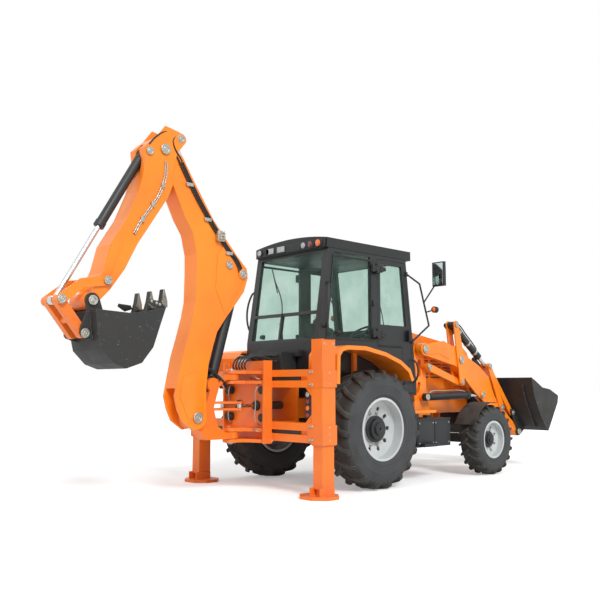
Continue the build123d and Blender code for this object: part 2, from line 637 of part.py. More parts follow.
# ================================================================ fenders, boxes, deck
fender_line = [(-790, 1230), (-780, 1560), (-715, 1640), (-610, fender_height), (-300, fender_height),
               (60, fender_height - 62), (340, fender_height - 152), (515, fender_height - 255),
               (585, fender_height - 385)]
fender_outer = 1122.0
fender = prism(band(fender_line, -18), cab_half_width, fender_outer)
fender += prism(band(fender_line, -48), fender_outer - 16, fender_outer)
fender += block(-60, 0, cab_half_width, rear_track / 2 - rear_tyre_width / 2 - 12, cab_floor, fender_height - 55)
nodes["rear_fenders"] = pair(fender)

box_top = 780.0
box_x0, box_x1 = 860.0, 1560.0
side_box = block(box_x0, box_x1, rail_outer + 20, 940, 430, box_top)
side_box += block(box_x0 + 60, box_x0 + 360, rail_inner, rail_outer + 40, box_top - 80, rail_bottom)
side_box += block(box_x0 + 60, box_x0 + 340, 940, 1010, 440, 470)
valve_chest = block(frame_face + 210, cab_rear_bottom - 30, -300, 300, upper_beam[1] + pin_fit, 1610)
nodes["side_boxes"] = Compound([*side_box.solids(), *mirrored(side_box).solids(), *valve_chest.solids()])
deck = block(760, arm_pivot[0] - 80, rail_outer - 5, 950, rail_bottom + 32, rail_bottom + 68)
nodes["main_frame"] = nodes["main_frame"] + deck + mirrored(deck)

# ================================================================ inside the cab
seat_base = cab_floor + cab_wall
seat_top = seat_base + 450
seat = block(80, 560, -240, 240, seat_top - 120, seat_top)
seat += prism([(60, seat_base + 420), (140, seat_base + 420), (30, seat_base + 960), (-40, seat_base + 960)], -230, 230)
seat += block(180, 460, -150, 150, seat_base, seat_base + 335)
nodes["seat"] = seat
dash = prism([(1000, seat_base), (1150, seat_base), (1080, 1890), (960, 1850), (960, 1780)], -160, 160)
dash += tube((1000, 0, 1770), (900, 0, 1920), 22)
wheel_plane = Plane(origin=(900, 0, 1920), z_dir=(-80, 0, 120))
dash += wheel_plane * Pos(0, 0, 5) * Cylinder(40, 26)
for i in range(3):
    dash += wheel_plane * Rot(Z=120 * i) * Pos(105, 0, 8) * Box(160, 24, 10)
dash += wheel_plane * Pos(0, 0, 8) * Torus(188, 15)
for side in (-1, 1):
    console = block(-430, -120, side * 330 - 90, side * 330 + 90, seat_base, 1690)
    console += tube((-280, side * 330, 1680), (-320, side * 330, 1990), 9)
    console += Pos(-322, side * 330, 2000) * Sphere(24)
    dash += console
nodes["consoles"] = dash

# ================================================================ mirrors and lamps
mirror_route = [(1022, 675, 2690), (1150, 790, 2560), (1298, 820, 2010), (1128, 675, 1800)]
carrier = Pos(*mirror_route[1]) * Sphere(12) + Pos(*mirror_route[2]) * Sphere(12)
for x, _, z in (mirror_route[0], mirror_route[-1]):
    carrier += block(x - 17, x + 17, cab_half_width + pin_fit, cab_half_width + 20, z - 30, z + 30)
for start, end in zip(mirror_route, mirror_route[1:]):
    carrier += tube(start, end, 12)
arm_foot = tuple(a + 0.45 * (b - a) for a, b in zip(mirror_route[1], mirror_route[2]))
carrier += tube(arm_foot, (1240, 1040, 2610), 10) + Pos(*arm_foot) * Sphere(14)
carrier += block(1218, 1262, 950, 1138, 2515, 2835)
lamp_foot = tuple(a + 0.68 * (b - a) for a, b in zip(mirror_route[1], mirror_route[2]))
carrier += tube(lamp_foot, (1290, 930, 2215), 9) + tube((1262, 930, 2215), (1318, 930, 2215), 42)
lamps = pair(carrier).solids()
for y in (-560, -420, 420, 560):
    lamps += round_x(y, roof_top - 118, 44, roof_rear - 34, roof_rear - pin_fit).solids()
    lamps += round_x(y, roof_top - 118, 50, roof_front + pin_fit, roof_front + 38).solids()
nodes["mirrors_lamps"] = Compound(lamps)

# ================================================================ rear frame and stabilisers
housing_inner = leg_offset - housing_width / 2
rear = None
for low, high in (upper_beam, lower_beam):
    piece = block(frame_face, frame_face + beam_depth, -housing_inner - 10, housing_inner + 10, low, high)
    middle = (low + high) / 2
    slot_half = housing_inner - 60
    piece -= block(frame_face - 5, frame_face + slot_depth, -slot_half, slot_half,
                   middle - slot_height / 2, middle + slot_height / 2)
    rear = piece if rear is None else rear + piece
leg_x0, leg_x1 = leg_centre_x - housing_length / 2, leg_centre_x + housing_length / 2
bore_x, bore_y = housing_length / 2 - housing_wall, housing_width / 2 - housing_wall
collar = 12.0
for side in (-1, 1):
    y = side * leg_offset
    rear += block(leg_x0, leg_x1, y - housing_width / 2, y + housing_width / 2, housing_bottom, housing_top)
    for low, high in ((upper_beam[0], upper_beam[1] - 12), (lower_beam[0] - 16, lower_beam[1] - 20)):
        rear += block(leg_x0 - 5, leg_x1 + collar, y - housing_width / 2 - collar, y + housing_width / 2 + collar,
                      low, high)
    for low_z, tip_z in ((lower_beam[1], 110), (upper_beam[0], -110)):
        corner = [(side * (housing_inner + 5), low_z), (side * (housing_inner - 110), low_z),
                  (side * (housing_inner + 5), low_z + tip_z)]
        rear += across(corner, frame_face + 15, frame_face + beam_depth - 15)
for side in (-1, 1):
    y = side * leg_offset
    rear -= block(leg_centre_x - bore_x, leg_centre_x + bore_x, y - bore_y, y + bore_y,
                  housing_bottom - 60, housing_top - 15)
nodes["rear_frame"] = rear

leg_length = 1060.0
foot_height = pad_thickness + 66


def stabiliser(side):
    y = side * leg_offset
    half_x, half_y = bore_x - pin_fit, bore_y - pin_fit
    leg = block(leg_centre_x - half_x, leg_centre_x + half_x, y - half_y, y + half_y,
                foot_height, foot_height + leg_length)
    leg += block(leg_centre_x - 60, leg_centre_x + 60, y - 55, y + 55, pad_thickness, foot_height + 5)
    px, py = leg_centre_x - 25, side * (leg_offset - 46)
    cut_x, cut_y = 0.29 * pad_length, 0.29 * pad_width
    hx, hy = pad_length / 2, pad_width / 2
    pad = [(px - hx, py - hy + cut_y), (px - hx, py + hy - cut_y), (px - hx + cut_x, py + hy),
           (px + hx - cut_x, py + hy), (px + hx, py + hy - cut_y), (px + hx, py - hy + cut_y),
           (px + hx - cut_x, py - hy), (px - hx + cut_x, py - hy)]
    leg += plan(pad, 0, pad_thickness)
    for offset in (-75, 75):
        leg += block(px - 110, px + 110, y + offset - 8, y + offset + 8, pad_thickness - 5, foot_height + 20)
    return leg


nodes["stabiliser_leg_left"] = stabiliser(1)
nodes["stabiliser_leg_right"] = stabiliser(-1)


# ================================================================ side-shift carriage
plate_rear = frame_face - pin_fit - carriage_plate
lug_gap = 6.0
lug_radius = 95.0
carriage = block(plate_rear, frame_face - pin_fit, -carriage_half_width, carriage_half_width,
                 carriage_bottom, carriage_top)
boss_spans = ((kingpost_bottom, kingpost_bottom + 75), (kingpost_top - 65, kingpost_top))
lug_thickness = 38.0
for low, high in boss_spans:
    for z0 in (low - lug_gap - lug_thickness, high + lug_gap):
        lug = plan([(plate_rear + 5, -carriage_half_width), (plate_rear + 5, carriage_half_width),
                    (plate_rear - 40, carriage_half_width), (slew_axis_x + 110, 120),
                    (slew_axis_x, lug_radius), (slew_axis_x, -lug_radius), (slew_axis_x + 110, -120),
                    (plate_rear - 40, -carriage_half_width)], z0, z0 + lug_thickness)
        carriage += lug + round_z(slew_axis_x, 0, lug_radius, z0, z0 + lug_thickness)
    carriage += round_z(slew_axis_x, 0, slew_pin_radius, low - lug_gap - 5, high + lug_gap + 5)
for side in (-1, 1):
    y0, y1 = sorted((side * carriage_half_width, side * (carriage_half_width - 25)))
    carriage += block(plate_rear - 85, plate_rear + 5, y0, y1, carriage_bottom, carriage_top)
# keys that run in the beams' slots
for low, high in (upper_beam, lower_beam):
    middle = (low + high) / 2
    carriage += block(frame_face - pin_fit - 5, frame_face + slot_depth - 6, -carriage_half_width + 40,
                      carriage_half_width - 40, middle - slot_height / 2 + pin_fit, middle + slot_height / 2 - pin_fit)
slew_ram_radius = 45.0
for side in (-1, 1):
    carriage -= round_x(side * slew_ram_offset, slew_ram_height, slew_ram_radius + pin_fit,
                        plate_rear - 10, frame_face + 10)
nodes["carriage"] = carriage

slew_barrel_front = rail_rear - 50
slew_barrel_rear = slew_axis_x + 212
slew_rod_radius = 20.0
slew_rod_length = 430.0
barrels = []
for side in (-1, 1):
    barrel = round_x(side * slew_ram_offset, slew_ram_height, slew_ram_radius, slew_barrel_rear, slew_barrel_front)
    barrel += round_x(side * slew_ram_offset, slew_ram_height, slew_ram_radius + 14,
                      frame_face - carriage_plate - 24, frame_face - carriage_plate - pin_fit)
    barrel -= round_x(side * slew_ram_offset, slew_ram_height, slew_rod_radius + pin_fit,
                      slew_barrel_rear - 5, slew_barrel_front - 8)
    barrels += barrel.solids()
    for z in (upper_beam[0] - 30, lower_beam[1] + 45):
        clamp = round_x(side * (carriage_half_width - 75), z, 48, plate_rear - 70, plate_rear - pin_fit)
        barrels += clamp.solids()
nodes["carriage_rams"] = Compound(barrels)
for side_name, side in (("left", 1), ("right", -1)):
    y = side * slew_ram_offset
    rod = round_x(y, slew_ram_height, slew_rod_radius, slew_axis_x + 10, slew_axis_x + slew_rod_length)
    rod += round_z(slew_axis_x, y, 30, slew_ram_height - 22, slew_ram_height + 22)
    nodes[f"slew_rod_{side_name}"] = rod

# ================================================================ kingpost
hub_x = slew_axis_x
ear_gap = 3.0
hub_clear = 135.0        # past this radius the column may rise beside the carriage's lugs
ram_lug = 78.0
column = [(hub_x, kingpost_bottom), (hub_x, boss_spans[0][1]), (hub_x - hub_clear, boss_spans[0][1]),
          (hub_x - 250, kingpost_bottom + 150), (hub_x - 310, kingpost_bottom + 354),
          (hub_x - 240, kingpost_top - 150), (hub_x - hub_clear, boss_spans[1][0]),
          (hub_x, boss_spans[1][0]), (hub_x, kingpost_top), (hub_x - hub_clear, kingpost_top),
          polar(ram_base, ram_lug, 10), polar(ram_base, ram_lug, 235),
          (ram_base[0] - 85, ram_base[1] - 190),
          (foot_pin[0] - 60, foot_pin[1] + 110), (foot_pin[0], foot_pin[1] - 90),
          (hub_x - 400, kingpost_bottom)]
king = prism(column, -kingpost_half_width, kingpost_half_width)
king += round_y(foot_pin, 122, -kingpost_half_width, kingpost_half_width)
king += round_y(ram_base, ram_lug, -kingpost_half_width, kingpost_half_width)
for low, high in boss_spans:
    king += round_z(hub_x, 0, 88, low, high)
eye_half_width = 22.0
for z0 in (slew_ram_height - eye_half_width - ear_gap - 25, slew_ram_height + eye_half_width + ear_gap):
    for side in (-1, 1):
        king += plan([(hub_x + 24, 0), (hub_x + 24, side * slew_ram_offset), (hub_x - 24, side * slew_ram_offset),
                      (hub_x - 330, side * 75), (hub_x - 330, 0)], z0, z0 + 25)
        king += round_z(hub_x, side * slew_ram_offset, 30, z0, z0 + 25)
for low, high in boss_spans:
    king -= round_z(hub_x, 0, slew_pin_radius + pin_fit, low - 5, high + 5)
boom_ram_eye = 40.0
slot_half = boom_ram_eye + 1
ram_slot_radius = 100.0
king -= round_y(ram_base, ram_slot_radius, -slot_half, slot_half)
king -= round_y(foot_pin, 40 + pin_fit, -100, 100)
king += round_y(ram_base, 32, -kingpost_half_width, kingpost_half_width)
nodes["kingpost"] = king

# ================================================================ boom
# stations from the foot pin: share of the boom's length, offset (rear +, front -)
boom_rear = [(0.0, 200), (0.045, 238), (0.095, 252), (0.125, 216), (0.232, 93), (0.305, -16),
             (0.373, -112), (0.429, -176), (0.536, -238), (0.608, -270), (0.688, -254),
             (0.747, -175), (0.863, -71)]
boom_front = [(0.975, -243), (0.90, -335), (0.812, -456), (0.737, -559), (0.653, -717), (0.583, -856),
              (0.534, -966), (0.496, -962), (0.444, -878), (0.403, -743), (0.356, -579), (0.303, -415),
              (0.255, -338), (0.186, -239), (0.10, -168), (0.0, -125)]


def boom_point(share, v):
    return along(foot_pin, boom_angle, share * boom_length, v)


def boom_plan(points):
    return [boom_point(u, v) for u, v in points]


foot_end = [(-0.04, -60), (-0.043, 70)]
boom_side = boom_plan(boom_rear) + [polar(dipper_pivot, 108, boom_angle + 60), polar(dipper_pivot, 108, boom_angle),
                                    polar(dipper_pivot, 108, boom_angle - 60)]
boom_side += boom_plan(boom_front) + boom_plan(foot_end)
boom = prism(boom_side, -boom_half_width, boom_half_width)
boom += round_y(foot_pin, 130, -boom_half_width, boom_half_width)
boom += round_y(dipper_pivot, 110, -boom_half_width + 6, boom_half_width - 6)
fork_half = boom_half_width - boom_plate
fork_space = boom_plan([(-0.15, -400), (-0.15, 400), (0.122, 400), (0.122, 120), (0.17, 85),
                        (0.17, -500)])
boom -= prism(fork_space, -fork_half, fork_half)
# the channel that both cylinders lie in, open to the front
channel = boom_plan([(0.15, -110), (0.32, -420), (0.5, -700), (0.525, -600), (0.56, -590), (0.924, -112),
                     (1.12, -112), (1.12, -700), (0.53, -1500), (0.15, -900)])
channel_half = boom_half_width - 32
boom -= prism(channel, -channel_half, channel_half)
boom += round_y(foot_pin, 40, -boom_half_width - 18, boom_half_width + 18)
boom -= round_y(dipper_pivot, 36 + pin_fit, -boom_half_width - 5, boom_half_width + 5)
dipper_ram_eye = 42.0
boom += round_y(dipper_ram_base, 28, -boom_half_width - 14, boom_half_width + 14)
for side in (-1, 1):
    y0, y1 = sorted((side * (dipper_ram_eye + 1), side * channel_half))
    boom += round_y(dipper_ram_base, 52, y0, y1)
    y0, y1 = sorted((side * boom_half_width, side * (boom_half_width + 22)))
    boom += round_y(boom_ram_pin, 62, y0, y1)
nodes["boom"] = boom

# cylinders: eyes' half widths, tube and rod radii, where the tube ends and the rod begins
nodes["boom_ram_barrel"] = (ram_barrel(ram_base, boom_ram_pin, 1125, 68, 72, boom_ram_eye, 32, ram_lug + 8, 0)
                            - ram_bore(ram_base, boom_ram_pin, 1125, 98, 36, 0))
nodes["boom_ram_rod"] = ram_rod(ram_base, boom_ram_pin, 165, 36, 66, channel_half - 3, 0)
nodes["dipper_ram_barrel"] = (ram_barrel(dipper_ram_base, dipper_ram_pin, 800, 56, 50, dipper_ram_eye, 28, 62, 0)
                              - ram_bore(dipper_ram_base, dipper_ram_pin, 800, 80, 30, 0))
dipper_ram_closed = 1239.0
rest_length = distance(dipper_ram_base, dipper_ram_pin)
nodes["dipper_ram_rod"] = ram_rod(dipper_ram_base, dipper_ram_pin, rest_length - dipper_ram_closed + 90,
                                  30, 55, channel_half - 4, 0)

# ================================================================ dipper
dipper_half = boom_half_width + dipper_plate + side_gap - 3


def dipper_point(u, v):
    return along(dipper_pivot, dipper_angle, u, v)


dipper_side = [(-290, 60), (-292, 160), (-250, 190), (-180, 175), (-60, 150), (60, 180), (169, 212),
               (310, 268), (461, 275), (0.585 * dipper_length, 186), (0.748 * dipper_length, 179),
               (dipper_length - 202, 130), (dipper_length - 40, 75), (dipper_length - 75, -36),
               (dipper_length - 250, -40), (dipper_length - 314, -22), (0.676 * dipper_length, -82),
               (933, -42), (598, -60), (442, -88), (253, -150), (138, -225), (60, -200), (-60, -150),
               (-240, -115)]
dipper = prism([dipper_point(u, v) for u, v in dipper_side], -dipper_half, dipper_half)
dipper += round_y(bucket_pivot, 85, -dipper_half, dipper_half)
dipper += round_y(lever_pivot, 72, -dipper_half, dipper_half)
dipper += round_y(dipper_ram_pin, 62, -dipper_half, dipper_half)
head_half = dipper_half - dipper_plate
head_space = [dipper_point(u, v) for u, v in [(-400, -400), (-400, 500), (345, 500), (345, 60), (250, -118),
                                              (-40, -118), (-120, -400)]]
dipper -= prism(head_space, -head_half, head_half)
bucket_ram_eye = 42.0
dipper -= round_y(bucket_ram_base, 100, -bucket_ram_eye - 1, bucket_ram_eye + 1)
ram_trough = [dipper_point(u, v) for u, v in [(212, -92), (520, -92), (520, -300), (212, -300)]]
dipper -= prism(ram_trough, -62, 62)
dipper += round_y(bucket_ram_base, 28, -dipper_half - 12, dipper_half + 12)
dipper += round_y(dipper_pivot, 36, -dipper_half - 16, dipper_half + 16)
dipper -= round_y(bucket_pivot, 32 + pin_fit, -dipper_half - 5, dipper_half + 5)
dipper -= round_y(lever_pivot, 28 + pin_fit, -dipper_half - 5, dipper_half + 5)
nodes["dipper"] = dipper

nodes["bucket_ram_barrel"] = (ram_barrel(bucket_ram_base, bucket_ram_pin, 1010, 52, 52, bucket_ram_eye, 28, 80, 0)
                              - ram_bore(bucket_ram_base, bucket_ram_pin, 1010, 95, 28, 0))
bucket_ram_closed = 1130.0
rest_length = distance(bucket_ram_base, bucket_ram_pin)
nodes["bucket_ram_rod"] = ram_rod(bucket_ram_base, bucket_ram_pin, rest_length - bucket_ram_closed + 100,
                                  28, 50, 44, 0)

# tipping levers outside the dipper, and the link from them to the bucket
lever_in = dipper_half + side_gap
lever_out = lever_in + link_plate
bow = along(lever_pivot, direction(lever_pivot, bucket_ram_pin), 0.5 * lever_length, -70)
lever_pair = []
for side in (-1, 1):
    y0, y1 = sorted((side * lever_in, side * lever_out))
    plate = bar(lever_pivot, bow, 50, 48, y0, y1) + bar(bow, bucket_ram_pin, 48, 52, y0, y1)
    lever_pair.append(plate)
levers_piece = lever_pair[0] + lever_pair[1] + round_y(lever_pivot, 28, -lever_out - 14, lever_out + 14)
for side in (-1, 1):
    y0, y1 = sorted((side * 52, side * (lever_out + 14)))
    levers_piece += round_y(bucket_ram_pin, 28, y0, y1)
nodes["tipping_levers"] = levers_piece

link_out = dipper_half
link_in = 60.0
link_piece = None
for side in (-1, 1):
    y0, y1 = sorted((side * link_in, side * link_out))
    plate = bar(bucket_ram_pin, bucket_link_pin, 50, 48, y0, y1)
    link_piece = plate if link_piece is None else link_piece + plate
middle = along(bucket_ram_pin, direction(bucket_ram_pin, bucket_link_pin), 230, 0)
link_piece += round_y(middle, 40, -link_in - 5, link_in + 5)
link_piece -= round_y(bucket_ram_pin, 28 + pin_fit, -lever_out, lever_out)
nodes["tipping_link"] = link_piece

# ================================================================ backhoe bucket, from its pivot
bx, bz = bucket_pivot
shell_line = [(bx - 25, bz - 96), (bx - 5, bz - 300), (bx + 42, bz - 490), (bx + 180, bz - 625),
              (bx + 325, bz - 674), (bx + 505, bz - 614), (bx + 638, bz - 449), (bx + 715, bz - 224),
              (bx + 785, bz - 24)]
side_line = shell_line + [(bx + 675, bz - 54), (bx + 380, bz - 112)]
shell = prism(band(shell_line, bucket_shell), -bucket_half_width, bucket_half_width)
for side in (-1, 1):
    y0, y1 = sorted((side * bucket_half_width, side * (bucket_half_width - bucket_shell)))
    shell += prism(side_line, y0, y1)
ear_out = lever_out
ear_line = [(bx - 75, bz + 30), (bx + 75, bz + 30), (bx + 120, bz - 100), (bx + 40, bz - 330), (bx + 60, bz - 420),
            (bx - 70, bz - 385), (bx - 125, bz - 330), (bx - 120, bz - 270), (bx - 60, bz - 120)]
for side in (-1, 1):
    y0, y1 = sorted((side * lever_in, side * ear_out))
    shell += prism(ear_line, y0, y1) + round_y(bucket_pivot, 78, y0, y1)
top_plate = [(bx - 25, bz - 96), (bx + 120, bz - 128), (bx + 120, bz - 150), (bx - 25, bz - 120)]
shell += prism(top_plate, -bucket_half_width, bucket_half_width)
shell += round_y(bucket_pivot, 32, -ear_out - 16, ear_out + 16)
for side in (-1, 1):
    y0, y1 = sorted((side * (ear_out - 2), side * (ear_out + 16)))
    shell += round_y(bucket_link_pin, 40, y0, y1)
tooth_tip = (bx + 757, bz + 165)
for y in (-bucket_half_width + 45, 0, bucket_half_width - 45):
    tooth = prism([(bx + 702, bz - 60), (bx + 735, bz + 60), (tooth_tip[0] - 6, tooth_tip[1]),
                   (tooth_tip[0] + 14, tooth_tip[1]), (bx + 802, bz + 40), (bx + 806, bz - 20),
                   (bx + 786.0, bz - 22), (bx + 757, bz - 18), (bx + 727, bz - 62)], y - 32, y + 32)
    shell += tooth
nodes["backhoe_bucket"] = shell

# ================================================================ loader arms
def arm_point(u, v):
    return along(arm_pivot, arm_angle, u, v)


y_in, y_out = arm_offset - arm_width / 2, arm_offset + arm_width / 2
arm_side = [(20, 86), (0.216 * arm_length, 364), (0.307 * arm_length, 372), (0.477 * arm_length, 405),
            (0.596 * arm_length, 376), (0.656 * arm_length, 258), (0.7 * arm_length, 190),
            (0.895 * arm_length, 92), (arm_length, 66),
            (arm_length, -66), (0.68 * arm_length, -14), (0.603 * arm_length, 2), (0.514 * arm_length, 14),
            (0.444 * arm_length, 42), (0.37 * arm_length, 88), (0.281 * arm_length, 133), (20, -80)]
arm = prism([arm_point(u, v) for u, v in arm_side], y_in, y_out)
arm += round_y(arm_pivot, 86, y_in, y_out) + round_y(bucket_hinge, 66, y_in, y_out)
lift_eye_half = 30.0
lift_slot = [arm_point(u, v) for u, v in [(1150, -100), (1150, 20), (1390, 162), (1550, 162), (1590, 60),
                                          (1590, -100)]]
arm -= prism(lift_slot, arm_offset - lift_eye_half - 2, arm_offset + lift_eye_half + 2)
arm -= round_y(arm_pivot, 35 + pin_fit, y_in - 5, y_out + 5)
crank_pin_radius, lever_pin_radius, hinge_pin_radius = 34.0, 28.0, 30.0
arm -= round_y(crank_pivot, crank_pin_radius + pin_fit, y_in - 5, y_out + 5)
arm -= round_y(tilt_lever_pivot, lever_pin_radius + pin_fit, y_in - 5, y_out + 5)
arm -= round_y(bucket_hinge, hinge_pin_radius + pin_fit, y_in - 5, y_out + 5)
for side in (-1, 1):
    y0, y1 = sorted((side * y_out, side * (y_out + 16)))
    arm += round_y(lift_ram_pin, 55, *sorted((y_out - 2, y_out + 16)))
cross_tube = arm_point(1955, 5)
arms = arm + mirrored(arm) + round_y(cross_tube, 50, -y_in - 5, y_in + 5)
nodes["loader_arms"] = arms

plate_in, plate_out = arm_width / 2 + side_gap, arm_width / 2 + side_gap + 18


# Two like plates either side of an arm's middle plane.
def twin(shape_at, y_low=plate_in, y_high=plate_out):
    return (shape_at(arm_offset - y_high, arm_offset - y_low)
            + shape_at(arm_offset + y_low, arm_offset + y_high))


crank = twin(lambda y0, y1: bar(crank_top, crank_pivot, 55, 80, y0, y1) + bar(crank_pivot, crank_low, 80, 48, y0, y1))
crank += round_y(crank_pivot, crank_pin_radius, arm_offset - plate_out - 12, arm_offset + plate_out + 12)
crank_top_pin = 25.0
crank -= round_y(crank_top, crank_top_pin + pin_fit, 0, 900)
crank += twin(lambda y0, y1: round_y(crank_low, 40, y0, y1), plate_out - 2, plate_out + 10)
nodes["bell_cranks"] = pair(crank)


# Arm on a pin's inner end that carries the hoses beside the tilt ram.
guide_in, guide_out, guide_reach = arm_offset - plate_out - 52, arm_offset - plate_out - 20, 165


def hose_guide(pin, towards, turn):
    heading = direction(pin, towards)
    tip = along(pin, heading + turn, guide_reach, 0)
    guide = bar(pin, tip, 30, 38, guide_in, guide_out)
    return guide - round_y(tip, 18, guide_in - 5, guide_out + 5)


nodes["crank_pins"] = pair(round_y(crank_top, crank_top_pin, guide_in, arm_offset + plate_out + 10)
                           + hose_guide(crank_top, tilt_pin, 0))

reaction = bar(reaction_pin, crank_low, 48, 44, arm_offset - 25, arm_offset + 25)
reaction += round_y(crank_low, 44, arm_offset - plate_in + 1, arm_offset + plate_in - 1)
reaction -= round_y(reaction_pin, 25 + pin_fit, arm_offset - 40, arm_offset + 40)
nodes["reaction_links"] = pair(reaction)

lift_bottom, lift_reach = 80, 985
nodes["lift_ram_barrels"] = pair(ram_barrel(lift_ram_base, lift_ram_pin, lift_reach, 50, 50, 25, 28, 62, arm_offset)
                                 - ram_bore(lift_ram_base, lift_ram_pin, lift_reach, lift_bottom, 28, arm_offset))
nodes["lift_ram_rods"] = pair(ram_rod(lift_ram_base, lift_ram_pin, lift_bottom + 60, 28, 48, lift_eye_half, arm_offset))
tilt_eye_half = 27.0
link_low, link_high = tilt_eye_half + 3, plate_in - 4
tilt_bottom, tilt_reach = 75, 760
nodes["tilt_ram_barrels"] = pair(ram_barrel(crank_top, tilt_pin, tilt_reach, 46, 46, 50, crank_top_pin, 58, arm_offset)
                                 - ram_bore(crank_top, tilt_pin, tilt_reach, tilt_bottom, 26, arm_offset))
nodes["tilt_ram_rods"] = pair(ram_rod(crank_top, tilt_pin, tilt_bottom + 25, 26, 44, tilt_eye_half, arm_offset))

bucket_lever = twin(lambda y0, y1: bar(tilt_lever_pivot, tilt_pin, 56, 46, y0, y1))
bucket_lever -= round_y(tilt_lever_pivot, lever_pin_radius + pin_fit, 0, 900)
tilt_pin_radius = 24.0
bucket_lever -= round_y(tilt_pin, tilt_pin_radius + pin_fit, 0, 900)
nodes["bucket_levers"] = pair(bucket_lever)
nodes["tilt_pins"] = pair(twin(lambda y0, y1: round_y(tilt_pin, tilt_pin_radius, y0, y1), link_low, plate_out + 10)
                          + round_y(tilt_pin, tilt_pin_radius, guide_in, arm_offset - plate_out)
                          + hose_guide(tilt_pin, crank_top, 0))


# Shaft across the machine between two coaxial pins, its ends clear of the plates that turn beside it.
def cross_shaft(centre, pin_radius, shaft_radius, pin_end):
    shaft_end = arm_offset - plate_out - side_gap
    shaft = round_y(centre, shaft_radius, -shaft_end, shaft_end)
    return shaft + round_y(centre, pin_radius, -pin_end, pin_end)


nodes["lever_shafts"] = cross_shaft(tilt_lever_pivot, lever_pin_radius, 60, arm_offset + plate_out + 10)
bucket_link = twin(lambda y0, y1: bar(tilt_pin, tilt_link_pin, 44, 42, y0, y1), link_low, link_high)
middle = along(tilt_pin, direction(tilt_pin, tilt_link_pin), 0.55 * distance(tilt_pin, tilt_link_pin), 0)
bucket_link += round_y(middle, 34, arm_offset - link_low - 2, arm_offset + link_low + 2)
bucket_link -= round_y(tilt_pin, tilt_pin_radius + pin_fit, 0, 900)
nodes["bucket_links"] = pair(bucket_link)
nodes["bucket_hinge_pins"] = cross_shaft(bucket_hinge, hinge_pin_radius, 70, arm_offset + plate_out + 14)

# ================================================================ loader bucket, from its hinge
hx, hz = bucket_hinge
back_line = [(hx - 275, hz + 805), (hx - 205, hz + 525), (hx - 25, hz + 215), (hx + 95, hz + 75),
             (hx + 165, hz + 20), (hx + 465, hz + 430), (hx + 490, hz + 535)]
cheek = back_line + [(hx + 242, hz + 635), (hx + 29, hz + 662), (hx - 183, hz + 769)]
loader = prism(band(back_line, loader_bucket_shell), -loader_bucket_half_width, loader_bucket_half_width)
for side in (-1, 1):
    y0, y1 = sorted((side * loader_bucket_half_width, side * (loader_bucket_half_width - loader_side_plate)))
    loader += prism(cheek, y0, y1)
hanger = [(hx - 45, hz + 45), (hx - 200, hz + 300), (hx - 190, hz + 335), (hx - 85, hz + 335), (hx - 23, hz + 218),
          (hx + 97, hz + 77), (hx + 160, hz + 24), (hx + 40, hz - 55)]
eyes = twin(lambda y0, y1: prism(hanger, y0, y1) + round_y(bucket_hinge, 62, y0, y1))
eyes -= round_y(bucket_hinge, hinge_pin_radius + pin_fit, 0, 900)
eyes += twin(lambda y0, y1: round_y(tilt_link_pin, 40, y0, y1), plate_out - 2, plate_out + 12)
loader += eyes + mirrored(eyes)
nodes["loader_bucket"] = loader

# ================================================================ place and write
whole = [shape.bounding_box() for shape in nodes.values()]
middle_x = (min(box.min.X for box in whole) + max(box.max.X for box in whole)) / 2
os.makedirs("parts", exist_ok=True)
for name, shape in nodes.items():
    export_step(Pos(-middle_x, 0, 0) * shape, f"parts/{name}.step")
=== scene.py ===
import math

import bmesh
import bpy
from mathutils import Matrix, Vector


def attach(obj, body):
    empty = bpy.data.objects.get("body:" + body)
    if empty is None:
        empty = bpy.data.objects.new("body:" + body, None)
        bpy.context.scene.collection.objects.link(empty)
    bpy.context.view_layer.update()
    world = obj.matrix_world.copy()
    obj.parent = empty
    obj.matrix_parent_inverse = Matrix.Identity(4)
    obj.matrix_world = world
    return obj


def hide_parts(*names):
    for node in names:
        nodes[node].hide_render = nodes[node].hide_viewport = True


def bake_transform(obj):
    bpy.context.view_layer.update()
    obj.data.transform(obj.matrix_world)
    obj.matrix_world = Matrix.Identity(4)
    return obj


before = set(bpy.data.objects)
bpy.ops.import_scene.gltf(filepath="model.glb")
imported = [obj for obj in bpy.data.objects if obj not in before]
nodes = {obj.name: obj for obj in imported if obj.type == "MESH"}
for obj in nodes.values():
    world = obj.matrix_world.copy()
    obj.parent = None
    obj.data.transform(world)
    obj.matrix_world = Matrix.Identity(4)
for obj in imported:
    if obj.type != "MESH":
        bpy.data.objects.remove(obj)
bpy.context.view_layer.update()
print("frame loaded:", len(nodes), "nodes")

# The drawing is in millimetres from the rear axle. The frame's x = 0 is the machine's middle.
drawingShift = 0.1885856


def place(x, y, z):
    return Vector((x / 1000 - drawingShift, y / 1000, z / 1000))


def linear(hexText):    # sRGB hex to the linear colour that a node takes
    parts = [int(hexText[i:i + 2], 16) / 255 for i in (1, 3, 5)]
    return tuple(c / 12.92 if c <= 0.04045 else ((c + 0.055) / 1.055) ** 2.4 for c in parts) + (1.0,)


def addNode(tree, kind, inputs=None, **settings):
    node = tree.nodes.new(kind)
    for key, value in settings.items():
        setattr(node, key, value)
    for socket, value in (inputs or {}).items():
        if isinstance(value, bpy.types.NodeSocket):
            tree.links.new(value, node.inputs[socket])
        else:
            node.inputs[socket].default_value = value
    return node


def newMaterial(name):
    material = bpy.data.materials.new(name)
    material.use_nodes = True
    material.node_tree.nodes.clear()
    return material, material.node_tree


